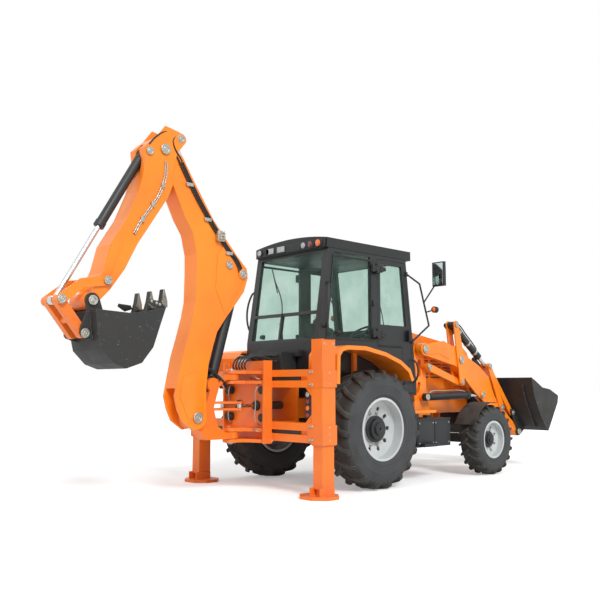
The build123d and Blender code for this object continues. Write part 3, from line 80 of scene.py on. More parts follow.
# Masks that every worn surface shares: broad drift, fine grain, edges (which carry a painted highlight), bare
# edges and settled dust.
def wearMasks(tree, look):
    spot = addNode(tree, "ShaderNodeTexCoord").outputs["Object"]
    drift = addNode(tree, "ShaderNodeTexNoise", {"Vector": spot, "Scale": look.get("driftScale", 2.2),
                                                 "Detail": 4.0})
    grain = addNode(tree, "ShaderNodeTexNoise", {"Vector": spot, "Scale": look.get("grainScale", 260.0),
                                                 "Detail": 3.0})
    blotch = addNode(tree, "ShaderNodeTexNoise", {"Vector": spot, "Scale": look.get("chipScale", 34.0),
                                                  "Detail": 6.0, "Roughness": 0.7})
    shape = addNode(tree, "ShaderNodeNewGeometry")
    soft = addNode(tree, "ShaderNodeBevel", {"Radius": look.get("edgeRadius", 0.007)}, samples=4)
    turn = addNode(tree, "ShaderNodeVectorMath", {0: soft.outputs["Normal"], 1: shape.outputs["Normal"]},
                   operation="DOT_PRODUCT")
    edge = addNode(tree, "ShaderNodeMapRange", {0: turn.outputs["Value"], 1: 0.97, 2: 0.80, 3: 0.0, 4: 1.0})
    chip = addNode(tree, "ShaderNodeMapRange", {0: blotch.outputs["Fac"], 1: look.get("chipFrom", 0.56),
                                                2: look.get("chipFrom", 0.56) + 0.05, 3: 0.0, 4: 1.0})
    bare = addNode(tree, "ShaderNodeMath", {0: edge.outputs[0], 1: chip.outputs[0]}, operation="MULTIPLY")
    facing = addNode(tree, "ShaderNodeSeparateXYZ", {0: shape.outputs["Normal"]})
    upward = addNode(tree, "ShaderNodeMapRange", {0: facing.outputs["Z"], 1: -0.2, 2: 0.95,
                                                  3: look.get("dustSide", 0.25), 4: 1.0})
    settle = addNode(tree, "ShaderNodeMapRange", {0: drift.outputs["Fac"], 1: 0.36, 2: 0.68, 3: 0.15, 4: 1.0})
    cover = addNode(tree, "ShaderNodeMath", {0: upward.outputs[0], 1: settle.outputs[0]},
                    operation="MULTIPLY")
    dust = addNode(tree, "ShaderNodeMath", {0: cover.outputs[0], 1: look["dust"]}, operation="MULTIPLY")
    return {"spot": spot, "drift": drift.outputs["Fac"], "grain": grain.outputs["Fac"],
            "edge": edge.outputs[0], "bare": bare.outputs[0], "dust": dust.outputs[0],
            "soft": soft.outputs["Normal"], "blotch": blotch.outputs["Fac"]}


# A sprayed or moulded finish from one dictionary: colour and shade, painted highlight and wear along edges,
# bare edge, dust, gloss and texture.
def wornFinish(name, look):
    material, tree = newMaterial(name)
    mask = wearMasks(tree, look)
    shaded = addNode(tree, "ShaderNodeMapRange", {0: mask["drift"], 1: 0.32, 2: 0.70, 3: 0.0, 4: 1.0})
    layers = [(shaded.outputs[0], look["shade"])]    # what lies over the first colour: how much, and its tone
    if "scratch" in look:    # long thin marks along the piece, a few millimetres apart
        stretch = addNode(tree, "ShaderNodeMapping", {
            "Vector": mask["spot"], "Scale": look["scratchStretch"], "Rotation": look["scratchTurn"]})
        marks = addNode(tree, "ShaderNodeTexNoise", {
            "Vector": stretch.outputs[0], "Scale": 14.0, "Detail": 8.0, "Roughness": 0.75})
        lines = addNode(tree, "ShaderNodeMapRange", {
            0: marks.outputs["Fac"], 1: 0.60, 2: 0.68, 3: 0.0, 4: look["scratchAmount"]})
        layers.append((lines.outputs[0], look["scratch"]))
    # a lighter tone along every edge: painted highlight, and on worn finishes also wear
    edge = addNode(tree, "ShaderNodeMapRange", {0: mask["edge"], 1: 0.0, 2: 1.0, 3: 0.0,
                                                4: look["edgeHighlightAndWearAmount"]})
    layers += [(edge.outputs[0], look.get("edgeHighlightAndWearTone", look["colour"])), (mask["bare"], look["bare"]),
               (mask["dust"], look.get("dustTone", "#9A8E7C"))]
    colour = linear(look["colour"])
    for amount, tone in layers:
        mix = addNode(tree, "ShaderNodeMix", {0: amount, 6: colour, 7: linear(tone)}, data_type="RGBA")
        colour = mix.outputs[2]
    rough = addNode(tree, "ShaderNodeMapRange", {
        0: mask["drift"], 1: 0.3, 2: 0.7, 3: look["rough"][0], 4: look["rough"][1]})
    dusty = addNode(tree, "ShaderNodeMath", {0: rough.outputs[0], 1: mask["dust"]}, operation="ADD",
                    use_clamp=True)
    bump = addNode(tree, "ShaderNodeBump", {
        "Strength": look["bump"], "Distance": look.get("bumpDepth", 0.0006), "Height": mask["grain"],
        "Normal": mask["soft"]})
    if "pitBump" in look:
        bump = addNode(tree, "ShaderNodeBump", {
            "Strength": look["pitBump"], "Distance": 0.004, "Height": mask["blotch"],
            "Normal": bump.outputs[0]})
    metallic = look.get("metallic", 0.0)
    shader = addNode(tree, "ShaderNodeBsdfPrincipled", {
        "Base Color": colour, "Roughness": dusty.outputs[0], "Metallic": metallic,
        "Coat Weight": look.get("coat", 0.0), "Coat Roughness": 0.12, "Normal": bump.outputs[0]})
    if metallic == 0.0:
        shader.inputs["IOR"].default_value = 1.5
    addNode(tree, "ShaderNodeOutputMaterial", {"Surface": shader.outputs[0]})
    return material


# Each finish's edge tone is lighter than its colour: a painted highlight along every edge, which on the worn
# finishes also stands for wear.
finishes = {
    # two-pack machine enamel, sprayed: bright, slightly orange-peeled, with a thin clear gloss; its paler
    # edges are a painted highlight
    "orangeEnamel": {
        "colour": "#FF8C10", "shade": "#FA7E0C", "dust": 0.07, "dustTone": "#C9A27A", "rough": (0.30, 0.42),
        "coat": 0.2, "edgeHighlightAndWearTone": "#FFA83C", "edgeHighlightAndWearAmount": 0.55, "bare": "#8C5A36", "chipFrom": 0.66,
        "grainScale": 120.0, "bump": 0.10},
    # the same enamel where feet, ropes and stones reach it
    "rubbedEnamel": {
        "colour": "#F67C12", "shade": "#E96B0E", "dust": 0.20, "dustTone": "#B79A78", "rough": (0.36, 0.52),
        "coat": 0.2, "edgeHighlightAndWearTone": "#F9A050", "edgeHighlightAndWearAmount": 0.5, "bare": "#6B4A36", "chipFrom": 0.60,
        "grainScale": 120.0, "bump": 0.14},
    # black powder coat on the cab's pressed steel: satin, faintly dusty
    "satinPowderCoat": {
        "colour": "#181B1D", "shade": "#1F2325", "dust": 0.10, "dustTone": "#6E6C68", "rough": (0.34, 0.50),
        "edgeHighlightAndWearTone": "#4A5053", "edgeHighlightAndWearAmount": 0.5, "bare": "#5A5C5C", "chipFrom": 0.68, "grainScale": 420.0,
        "bump": 0.22},
    # chassis black over castings and buckets: thin, scraped to steel and grey with soil
    "scrapedBlack": {
        "colour": "#232627", "shade": "#17191A", "dust": 0.34, "dustTone": "#6F6B64", "rough": (0.42, 0.68),
        "edgeHighlightAndWearTone": "#6E6E6A", "edgeHighlightAndWearAmount": 0.55, "bare": "#8A857C", "chipFrom": 0.54, "chipScale": 26.0,
        "grainScale": 90.0, "bump": 0.35, "pitBump": 0.18, "scratch": "#8B8A84", "scratchAmount": 0.55,
        "scratchStretch": (1.4, 9.0, 2.2), "scratchTurn": (0.3, 0.5, 0.2)},
    # aluminium-pigmented rim paint, sprayed over a rolled and welded disc
    "rimSilver": {
        "colour": "#C9CDCD", "shade": "#B7BDBE", "dust": 0.22, "dustTone": "#9B958A", "rough": (0.30, 0.44),
        "coat": 0.3, "edgeHighlightAndWearTone": "#E4E6E6", "edgeHighlightAndWearAmount": 0.5, "bare": "#7E7B76", "chipFrom": 0.64,
        "grainScale": 300.0, "bump": 0.12},
    # moulded tyre rubber, carbon black under field dust
    "treadRubber": {
        "colour": "#1F2021", "shade": "#2A2A29", "dust": 0.34, "dustTone": "#6E6A62", "dustSide": 0.75,
        "rough": (0.72, 0.88), "edgeHighlightAndWearTone": "#8A8378", "edgeHighlightAndWearAmount": 0.6, "bare": "#857E72",
        "chipFrom": 0.52, "grainScale": 200.0, "bump": 0.5, "bumpDepth": 0.0015, "driftScale": 5.0},
    # the smoother sidewall, wiped greyer
    "wallRubber": {
        "colour": "#2B2D2E", "shade": "#353838", "dust": 0.30, "dustTone": "#66686A", "dustSide": 0.8,
        "rough": (0.52, 0.70), "edgeHighlightAndWearTone": "#5A5C5A", "edgeHighlightAndWearAmount": 0.4, "bare": "#63635F",
        "chipFrom": 0.62, "grainScale": 320.0, "bump": 0.3, "driftScale": 4.0},
    # sand-cast iron under thin black paint, oily and dusty
    "castIron": {
        "colour": "#262627", "shade": "#33312E", "dust": 0.5, "dustTone": "#5E564A", "rough": (0.48, 0.72),
        "edgeHighlightAndWearTone": "#55534F", "edgeHighlightAndWearAmount": 0.4, "bare": "#6A6055", "chipFrom": 0.55, "grainScale": 150.0,
        "bump": 0.6, "bumpDepth": 0.002, "driftScale": 6.0},
    # injection-moulded ABS with a spark-eroded grain
    "grainedAbs": {
        "colour": "#161819", "shade": "#1E2122", "dust": 0.10, "dustTone": "#5C5A57", "rough": (0.46, 0.60),
        "edgeHighlightAndWearTone": "#3A3E40", "edgeHighlightAndWearAmount": 0.4, "bare": "#303335", "chipFrom": 0.7, "grainScale": 900.0,
        "bump": 0.35, "bumpDepth": 0.0004},
    # zinc-plated pin heads, bolts and pipe clamps: pale, a little yellowed
    "zincPlate": {
        "colour": "#BFC0B9", "shade": "#A9A79B", "dust": 0.2, "dustTone": "#8A8171", "rough": (0.32, 0.5),
        "metallic": 1.0, "edgeHighlightAndWearTone": "#DCDCD6", "edgeHighlightAndWearAmount": 0.5, "bare": "#7D6F5C", "chipFrom": 0.6,
        "grainScale": 700.0, "bump": 0.15, "driftScale": 30.0},
    # hard chrome on ground cylinder rod: mirror-bright with a film of oil and dust
    "hardChrome": {
        "colour": "#D8DADB", "shade": "#C6C9CA", "dust": 0.06, "dustTone": "#9A9284", "rough": (0.10, 0.2),
        "metallic": 1.0, "edgeHighlightAndWearAmount": 0.0, "bare": "#C6C9CA", "chipFrom": 0.9, "grainScale": 1200.0,
        "bump": 0.04, "driftScale": 12.0},
    # steel teeth and cutting edges, ground bright by soil with rust in the hollows
    "groundSteel": {
        "colour": "#8F8A80", "shade": "#6A6258", "dust": 0.45, "dustTone": "#857A66", "rough": (0.4, 0.65),
        "metallic": 0.6, "edgeHighlightAndWearTone": "#C9C6BE", "edgeHighlightAndWearAmount": 0.7, "bare": "#5B4A38", "chipFrom": 0.5,
        "grainScale": 240.0, "bump": 0.4, "pitBump": 0.3, "driftScale": 9.0},
    # spiral-braided hydraulic hose cover
    "hoseRubber": {
        "colour": "#17191A", "shade": "#222425", "dust": 0.18, "dustTone": "#55524C", "rough": (0.42, 0.56),
        "edgeHighlightAndWearAmount": 0.0, "bare": "#2A2C2C", "chipFrom": 0.8, "grainScale": 600.0, "bump": 0.3,
        "driftScale": 9.0},
    # silvered glass behind a clear pane
    "mirrorGlass": {
        "colour": "#AEB6B8", "shade": "#A0A9AC", "dust": 0.1, "rough": (0.03, 0.1), "metallic": 1.0,
        "edgeHighlightAndWearAmount": 0.0, "bare": "#8E9698", "chipFrom": 0.9, "bump": 0.01, "grainScale": 300.0},
}
finish = {name: wornFinish(name, look) for name, look in finishes.items()}


# Heavy woven seat cloth: crossed yarns 3 mm apart, drawn coarse enough to read, with a soft fuzz.
def wovenCloth(name):
    material, tree = newMaterial(name)
    spot = addNode(tree, "ShaderNodeTexCoord").outputs["Object"]
    yarns = []
    for turn in ((0.0, 0.0, 0.0), (0.0, 0.0, math.pi / 2)):
        lay = addNode(tree, "ShaderNodeMapping", {"Vector": spot, "Rotation": turn})
        wave = addNode(tree, "ShaderNodeTexWave", {"Vector": lay.outputs[0], "Scale": 110.0,
                                                   "Distortion": 0.6, "Detail": 1.0}, wave_type="BANDS",
                       bands_direction="X")
        yarns.append(wave.outputs["Fac"])
    weave = addNode(tree, "ShaderNodeMath", {0: yarns[0], 1: yarns[1]}, operation="MULTIPLY").outputs[0]
    fade = addNode(tree, "ShaderNodeTexNoise", {"Vector": spot, "Scale": 9.0, "Detail": 3.0}).outputs["Fac"]
    yarn = addNode(tree, "ShaderNodeMix", {0: weave, 6: linear("#2A2D31"), 7: linear("#44484D")},
                   data_type="RGBA")
    paler = addNode(tree, "ShaderNodeMapRange", {0: fade, 1: 0.4, 2: 0.7, 3: 0.0, 4: 0.35})
    colour = addNode(tree, "ShaderNodeMix", {
        0: paler.outputs[0], 6: yarn.outputs[2], 7: linear("#5B5A57")}, data_type="RGBA")
    bump = addNode(tree, "ShaderNodeBump", {"Strength": 0.5, "Distance": 0.001, "Height": weave})
    rough = addNode(tree, "ShaderNodeMapRange", {0: fade, 1: 0.3, 2: 0.7, 3: 0.8, 4: 0.95})
    shader = addNode(tree, "ShaderNodeBsdfPrincipled", {
        "Base Color": colour.outputs[2], "Roughness": rough.outputs[0], "Sheen Weight": 0.3,
        "Normal": bump.outputs[0]})
    addNode(tree, "ShaderNodeOutputMaterial", {"Surface": shader.outputs[0]})
    return material


# Toughened safety glass, tinted green in the melt, under a thin uneven film of dust.
def tintedGlass(name, tint, film):
    material, tree = newMaterial(name)
    spot = addNode(tree, "ShaderNodeTexCoord").outputs["Object"]
    smear = addNode(tree, "ShaderNodeTexNoise", {"Vector": spot, "Scale": 3.0, "Detail": 6.0}).outputs["Fac"]
    speck = addNode(tree, "ShaderNodeTexNoise", {"Vector": spot, "Scale": 160.0,
                                                 "Detail": 2.0}).outputs["Fac"]
    streak = addNode(tree, "ShaderNodeMapRange", {0: smear, 1: 0.35, 2: 0.7, 3: 0.0, 4: 0.5})
    colour = addNode(tree, "ShaderNodeMix", {
        0: streak.outputs[0], 6: linear(tint), 7: linear("#E4F1EC")}, data_type="RGBA")
    clear = addNode(tree, "ShaderNodeBsdfTransparent", {"Color": colour.outputs[2]})
    bump = addNode(tree, "ShaderNodeBump", {"Strength": 0.02, "Distance": 0.001, "Height": speck})
    rough = addNode(tree, "ShaderNodeMapRange", {0: smear, 1: 0.3, 2: 0.7, 3: 0.02, 4: 0.08})
    gloss = addNode(tree, "ShaderNodeBsdfPrincipled", {
        "Base Color": linear("#7F9A94"), "Roughness": rough.outputs[0], "IOR": 1.52,
        "Normal": bump.outputs[0]})
    cover = addNode(tree, "ShaderNodeMapRange", {0: smear, 1: 0.3, 2: 0.75, 3: film, 4: film + 0.06})
    facing = addNode(tree, "ShaderNodeLayerWeight", {"Blend": 0.25}).outputs["Facing"]
    edge = addNode(tree, "ShaderNodeMath", {0: facing, 1: 3.0}, operation="POWER")
    share = addNode(tree, "ShaderNodeMath", {0: cover.outputs[0], 1: edge.outputs[0]}, operation="ADD",
                    use_clamp=True)
    both = addNode(tree, "ShaderNodeMixShader", {0: share.outputs[0], 1: clear.outputs[0],
                                                 2: gloss.outputs[0]})
    addNode(tree, "ShaderNodeOutputMaterial", {"Surface": both.outputs[0]})
    return material


# A moulded polycarbonate lamp lens: prisms inside, gloss outside.
def lampLens(name, colour, groove):
    material, tree = newMaterial(name)
    spot = addNode(tree, "ShaderNodeTexCoord").outputs["Object"]
    prism = addNode(tree, "ShaderNodeTexVoronoi", {"Vector": spot, "Scale": 110.0}).outputs["Distance"]
    depth = addNode(tree, "ShaderNodeMapRange", {0: prism, 1: 0.0, 2: 0.6, 3: 0.0, 4: 1.0})
    shade = addNode(tree, "ShaderNodeMix", {
        0: depth.outputs[0], 6: linear(colour), 7: linear(groove)}, data_type="RGBA")
    rough = addNode(tree, "ShaderNodeMapRange", {0: prism, 1: 0.0, 2: 0.6, 3: 0.08, 4: 0.2})
    bump = addNode(tree, "ShaderNodeBump", {"Strength": 0.35, "Distance": 0.001, "Height": prism})
    shader = addNode(tree, "ShaderNodeBsdfPrincipled", {
        "Base Color": shade.outputs[2], "Roughness": rough.outputs[0], "IOR": 1.58, "Coat Weight": 0.6,
        "Normal": bump.outputs[0]})
    addNode(tree, "ShaderNodeOutputMaterial", {"Surface": shader.outputs[0]})
    return material


finish["wovenCloth"] = wovenCloth("wovenCloth")
finish["greenGlass"] = tintedGlass("greenGlass", "#F0F7F4", 0.03)
finish["clearLens"] = lampLens("clearLens", "#C9CFCF", "#8F9698")
finish["amberLens"] = lampLens("amberLens", "#FF8A14", "#D9600A")
finish["redLens"] = lampLens("redLens", "#A3202A", "#5E1016")
print("finishes made:", len(finish))


# Shape builders.
def slab(form, low, high, edge=0.003, slot=0):    # a box with broken edges between two corners in metres
    made = bmesh.ops.create_cube(form, size=1.0)["verts"]
    size, middle = high - low, (low + high) / 2
    for vertex in made:
        vertex.co = Vector((vertex.co[i] * abs(size[i]) + middle[i] for i in range(3)))
    edges = list({e for v in made for e in v.link_edges})
    faces = list({f for v in made for f in v.link_faces})
    for face in faces:
        face.material_index = slot
    if edge > 0:
        bmesh.ops.bevel(form, geom=edges, offset=edge, segments=2, profile=0.6, affect="EDGES",
                        clamp_overlap=True, material=slot)


# A slab from spans in drawing millimetres, on either side of y = 0
def block(form, x, y, z, edge=0.003, slot=0):
    near, far = sorted(y)
    slab(form, place(x[0], near, z[0]), place(x[1], far, z[1]), edge, slot)


# An outline in drawing millimetres with a thickness
def plateXz(form, outline, y0, y1, edge=0.003, slot=0):
    near = [form.verts.new(place(x, y0, z)) for x, z in outline]
    far = [form.verts.new(place(x, y1, z)) for x, z in outline]
    faces = [form.faces.new(near), form.faces.new(far[::-1])]
    for i in range(len(near)):
        k = (i + 1) % len(near)
        faces.append(form.faces.new((near[i], far[i], far[k], near[k])))
    for face in faces:
        face.material_index = slot
    bmesh.ops.recalc_face_normals(form, faces=faces)
    if edge > 0:
        edges = list({e for f in faces for e in f.edges})
        bmesh.ops.bevel(form, geom=edges, offset=edge, segments=2, profile=0.6, affect="EDGES",
                        clamp_overlap=True, material=slot)


# Profile of (along, radius); a zero radius closes it
def lathe(form, centre, axis, profile, steps=48, slot=0):
    axis = Vector(axis).normalized()
    side = axis.orthogonal().normalized()
    other = axis.cross(side)
    rows = []
    for along, radius in profile:
        if radius <= 0:
            rows.append([form.verts.new(centre + axis * along / 1000)])
            continue
        rows.append([form.verts.new(centre + axis * along / 1000 + radius / 1000 * (
            side * math.cos(2 * math.pi * k / steps) + other * math.sin(2 * math.pi * k / steps)))
                     for k in range(steps)])
    made = []
    for first, second in zip(rows, rows[1:]):
        for k in range(steps):
            n = (k + 1) % steps
            if len(first) == 1 and len(second) == 1:
                continue
            if len(first) == 1:
                made.append(form.faces.new((first[0], second[n], second[k])))
            elif len(second) == 1:
                made.append(form.faces.new((first[k], first[n], second[0])))
            else:
                made.append(form.faces.new((first[k], first[n], second[n], second[k])))
    for face in made:
        face.material_index = slot
    bmesh.ops.recalc_face_normals(form, faces=made)


def showPiece(name, mesh, body, angle=35):
    mesh.shade_smooth()
    mesh.set_sharp_from_angle(angle=math.radians(angle))
    piece = bpy.data.objects.new(name, mesh)
    bpy.context.scene.collection.objects.link(piece)
    if body:
        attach(piece, body)
    return piece


def makePiece(name, form, looks, body, angle=35):
    bmesh.ops.remove_doubles(form, verts=form.verts, dist=1e-6)
    mesh = bpy.data.meshes.new(name)
    form.to_mesh(mesh)
    form.free()
    for look in looks:
        mesh.materials.append(finish[look])
    return showPiece(name, mesh, body, angle)


def geometryTree(name, sockets):
    tree = bpy.data.node_groups.new(name, "GeometryNodeTree")
    tree.interface.new_socket("Geometry", in_out="INPUT", socket_type="NodeSocketGeometry")
    for label, kind in sockets:
        tree.interface.new_socket(label, in_out="INPUT", socket_type=kind)
    tree.interface.new_socket("Geometry", in_out="OUTPUT", socket_type="NodeSocketGeometry")
    return tree, tree.nodes.new("NodeGroupInput"), tree.nodes.new("NodeGroupOutput")


# Copies of one pattern on points that carry their turn and size.
def copiesTree():
    tree, given, result = geometryTree("copiesOnPoints", (
        ("Pattern", "NodeSocketObject"), ("Finish", "NodeSocketMaterial")))
    pattern = addNode(tree, "GeometryNodeObjectInfo", {"Object": given.outputs["Pattern"]})
    turn = addNode(tree, "GeometryNodeInputNamedAttribute", {"Name": "turn"}, data_type="FLOAT_VECTOR")
    size = addNode(tree, "GeometryNodeInputNamedAttribute", {"Name": "size"}, data_type="FLOAT_VECTOR")
    rotation = addNode(tree, "FunctionNodeEulerToRotation", {"Euler": turn.outputs["Attribute"]})
    copies = addNode(tree, "GeometryNodeInstanceOnPoints", {
        "Points": given.outputs["Geometry"], "Instance": pattern.outputs["Geometry"],
        "Rotation": rotation.outputs[0], "Scale": size.outputs["Attribute"]})
    whole = addNode(tree, "GeometryNodeRealizeInstances", {"Geometry": copies.outputs[0]})
    dressed = addNode(tree, "GeometryNodeSetMaterial", {
        "Geometry": whole.outputs[0], "Material": given.outputs["Finish"]})
    tree.links.new(dressed.outputs[0], result.inputs[0])
    return tree


# A round hose or pipe along every spline of a curve.
def hoseTree():
    tree, given, result = geometryTree("hosesOnCurve", (
        ("Radius", "NodeSocketFloat"), ("Sides", "NodeSocketInt"), ("Finish", "NodeSocketMaterial")))
    ring = addNode(tree, "GeometryNodeCurvePrimitiveCircle", {
        "Resolution": given.outputs["Sides"], "Radius": given.outputs["Radius"]})
    swept = addNode(tree, "GeometryNodeCurveToMesh", {
        "Curve": given.outputs["Geometry"], "Profile Curve": ring.outputs[0], "Fill Caps": True})
    whole = addNode(tree, "GeometryNodeRealizeInstances", {"Geometry": swept.outputs[0]})
    dressed = addNode(tree, "GeometryNodeSetMaterial", {
        "Geometry": whole.outputs[0], "Material": given.outputs["Finish"]})
    tree.links.new(dressed.outputs[0], result.inputs[0])
    return tree


copies, hoses = copiesTree(), hoseTree()


def bake(name, carrier, tree, values):
    modifier = carrier.modifiers.new(name, "NODES")
    modifier.node_group = tree
    for item in tree.interface.items_tree:
        if item.in_out == "INPUT" and item.name in values:
            modifier[item.identifier] = values[item.name]
    bpy.context.scene.collection.objects.link(carrier)
    result = carrier.evaluated_get(bpy.context.evaluated_depsgraph_get())
    mesh = bpy.data.meshes.new_from_object(result)
    mesh.name = name
    bpy.data.objects.remove(carrier)
    return mesh


def copiesMesh(name, form, spots, look):    # spots: (point, Euler angles, size along the pattern's axes)
    shape = bpy.data.meshes.new(name + "Pattern")
    form.to_mesh(shape)
    form.free()
    pattern = bpy.data.objects.new(name + "Pattern", shape)
    points = bpy.data.meshes.new(name + "Points")
    points.from_pydata([point for point, turn, size in spots], [], [])
    for label, column in (("turn", 1), ("size", 2)):
        layer = points.attributes.new(label, "FLOAT_VECTOR", "POINT")
        for i, spot in enumerate(spots):
            layer.data[i].vector = spot[column]
    mesh = bake(name, bpy.data.objects.new(name, points), copies,
                {"Pattern": pattern, "Finish": finish[look]})
    bpy.data.objects.remove(pattern)
    return mesh


def facing(direction):    # Euler angles that turn +Z to a direction
    return tuple(Vector(direction).to_track_quat("Z", "Y").to_euler())


def boltForm():    # hexagon head 1.7 m across corners on a washer, scaled down per spot to the thread's size
    form = bmesh.new()
    lathe(form, Vector(), (0, 0, 1), ((-120, 0), (-120, 1150), (160, 1150), (190, 1110), (190, 0)), 24)
    lathe(form, Vector(), (0, 0, 1), ((150, 0), (150, 880), (760, 880), (860, 760), (860, 0)), 6)
    return form


def capForm():    # pin end: turned disc with a chamfer, a groove ring and a centre hole's dimple
    form = bmesh.new()
    lathe(form, Vector(), (0, 0, 1), ((-60, 0), (-60, 1000), (70, 1000), (150, 920), (150, 640), (110, 600),
                                      (110, 420), (190, 380), (190, 150), (120, 90), (120, 0)), 32)
    return form


def bolts(name, spots, body, look="zincPlate"):    # spots: (point, outward direction, head radius in mm)
    scaled = [(point, facing(out), (r / 1000,) * 3) for point, out, r in spots]
    return showPiece(name, copiesMesh(name, boltForm(), scaled, look), body)


def pinCaps(name, spots, body, look="zincPlate"):
    scaled = [(point, facing(out), (r / 1000, r / 1000, 0.05)) for point, out, r in spots]
    return showPiece(name, copiesMesh(name, capForm(), scaled, look), body)


def hoseMesh(name, routes, radius, look, sides=12):
    curve = bpy.data.curves.new(name, "CURVE")
    curve.dimensions = "3D"
    curve.resolution_u = 8
    for run in routes:
        spline = curve.splines.new("BEZIER")
        spline.bezier_points.add(len(run) - 1)
        for point, spot in zip(spline.bezier_points, run):
            point.co = place(*spot)
            point.handle_left_type = point.handle_right_type = "AUTO"
    values = {"Radius": radius / 1000, "Sides": sides, "Finish": finish[look]}
    return bake(name, bpy.data.objects.new(name, curve), hoses, values)


def hosePiece(name, routes, radius, look, body):
    return showPiece(name, hoseMesh(name, routes, radius, look), body)


# Finishes of the carried-over metal.
nodeFinish = {
    "orangeEnamel": ("bonnet", "rear_fenders", "boom", "dipper", "loader_arms", "bell_cranks",
                     "reaction_links", "bucket_levers", "bucket_links", "tipping_levers", "main_frame"),
    "rubbedEnamel": ("rear_frame", "stabiliser_leg_left", "stabiliser_leg_right", "carriage", "kingpost",
                     "tipping_link"),
    "satinPowderCoat": ("cab_frame", "side_boxes", "door_left", "door_right", "nose_grille",
                        "boom_ram_barrel", "dipper_ram_barrel", "bucket_ram_barrel", "lift_ram_barrels",
                        "tilt_ram_barrels"),
    "grainedAbs": ("cab_roof", "consoles", "mirrors_lamps", "seat"),
    "castIron": ("axles", "engine_block", "steering_knuckle_left", "steering_knuckle_right", "carriage_rams",
                 "crank_pins", "tilt_pins", "lever_shafts", "bucket_hinge_pins"),
    "scrapedBlack": ("backhoe_bucket", "loader_bucket"),
    "rimSilver": ("rim_rear_left", "rim_rear_right", "rim_front_left", "rim_front_right"),
    "hardChrome": ("slew_rod_left", "slew_rod_right", "boom_ram_rod", "dipper_ram_rod", "bucket_ram_rod",
                   "lift_ram_rods", "tilt_ram_rods"),
    "greenGlass": ("cab_glass", "door_glass_left", "door_glass_right"),
    "treadRubber": ("tyre_rear_left", "tyre_rear_right", "tyre_front_left", "tyre_front_right"),
}
for look, names in nodeFinish.items():
    for name in names:
        for slotOfNode in nodes[name].material_slots:
            slotOfNode.material = finish[look]
print("carried-over nodes finished")

# Tyres.
tyres = {    # mm: half widths over the walls and at the bead seat, and a bar's width at its top and base
    "rear": {"radius": 700, "half": 213, "bead": 356, "seat": 178, "height": 36, "lugs": 19, "top": 46,
             "base": 70, "band": 34, "x": 0, "y": 929},
    "front": {"radius": 475, "half": 153, "bead": 241, "seat": 118, "height": 26, "lugs": 20, "top": 28,
              "base": 44, "band": 34, "x": 2340, "y": 978},
}


def carcassProfile(t):    # from the inner bead over the tread to the outer bead, mm across and radius
    crown, wall = t["radius"] - t["height"], t["radius"] - t["height"] - t["bead"]
    side = [(t["seat"], t["bead"]), (t["seat"] + 2, t["bead"] + 18),
            (t["half"] - 22, t["bead"] + 0.10 * wall)]
    for share, inset in ((0.16, 8), (0.165, 4), (0.22, 4), (0.225, 7), (0.36, 1), (0.42, 0), (0.50, 0),
                         (0.505, -0.5), (0.54, -0.5), (0.545, 0.5), (0.66, 4), (0.78, 12), (0.86, 20),
                         (0.93, 34), (0.98, 62)):
        side.append((t["half"] - inset - 1, t["bead"] + share * wall))
    side.append((t["half"] - 110, crown))
    return side + [(0, crown + 1)] + [(-across, radius) for across, radius in reversed(side)]


def lugForm(t, mirrorAcross):    # one bar of tread, curved with the tyre, standing at the top of the wheel
    form = bmesh.new()
    crown, half = t["radius"] - t["height"], t["half"]
    stations = ((-0.05, -0.20, 1.0), (0.18, 0.02, 1.0), (0.42, 0.24, 0.985), (0.64, 0.40, 0.93),
                (0.82, 0.49, 0.72), (0.93, 0.54, 0.30), (0.975, 0.56, -0.35))
    rows = []
    for across, lead, rise in stations:
        bend = lead * half * 0.86
        ground = crown - (2 if across < 0.7 else 26 if across < 0.9 else 60)
        top = crown + t["height"] * rise
        row = []
        for wide, radius in ((t["base"] / 2, ground), (t["top"] / 2, top), (-t["top"] / 2, top),
                             (-t["base"] / 2, ground)):
            angle = (wide + bend) / t["radius"]
            out = across * half * (-1 if mirrorAcross else 1)
            row.append(form.verts.new((radius / 1000 * math.sin(angle), out / 1000,
                                       radius / 1000 * math.cos(angle))))
        rows.append(row)
    for first, second in zip(rows, rows[1:]):
        for k in range(4):
            form.faces.new((first[k], first[(k + 1) % 4], second[(k + 1) % 4], second[k]))
    form.faces.new(rows[0][::-1])
    form.faces.new(rows[-1])
    bmesh.ops.recalc_face_normals(form, faces=form.faces)
    crest = [e for e in form.edges if all(v.co.length > 0 and math.hypot(v.co.x, v.co.z) * 1000 > crown + 4
                                          for v in e.verts)]
    bmesh.ops.bevel(form, geom=crest, offset=0.004, segments=2, profile=0.6, affect="EDGES",
                    clamp_overlap=True)
    return form


for end, t in tyres.items():
    for sideName, side in (("left", 1), ("right", -1)):
        form = bmesh.new()
        centre = place(t["x"], side * t["y"], t["radius"])
        lathe(form, centre, (0, side, 0), carcassProfile(t), 96)
        bmesh.ops.recalc_face_normals(form, faces=form.faces)
        for face in form.faces:    # tread band in the rougher rubber
            middle = face.calc_center_median() - centre
            outward = math.hypot(middle.x, middle.z) * 1000
            face.material_index = 1 if outward > t["radius"] - t["height"] - t["band"] else 0
        for row, mirrored in ((0, False), (1, True)):
            spots = [(centre, (0.0, 2 * math.pi * (k + row / 2) / t["lugs"], 0.0), (-1.0, 1.0, 1.0))
                     for k in range(t["lugs"])]
            lugMesh = copiesMesh("lugs", lugForm(t, mirrored), spots, "treadRubber")
            start = len(form.faces)
            form.from_mesh(lugMesh)
            form.faces.ensure_lookup_table()
            fresh = form.faces[start:]
            for face in fresh:
                face.material_index = 1
            bmesh.ops.recalc_face_normals(form, faces=fresh)
        tyre = makePiece(f"tyre{end.title()}{sideName.title()}", form, ("wallRubber", "treadRubber"),
                         f"wheel_{end}_{sideName}", 30)
        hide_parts(f"tyre_{end}_{sideName}")
print("tyres made")

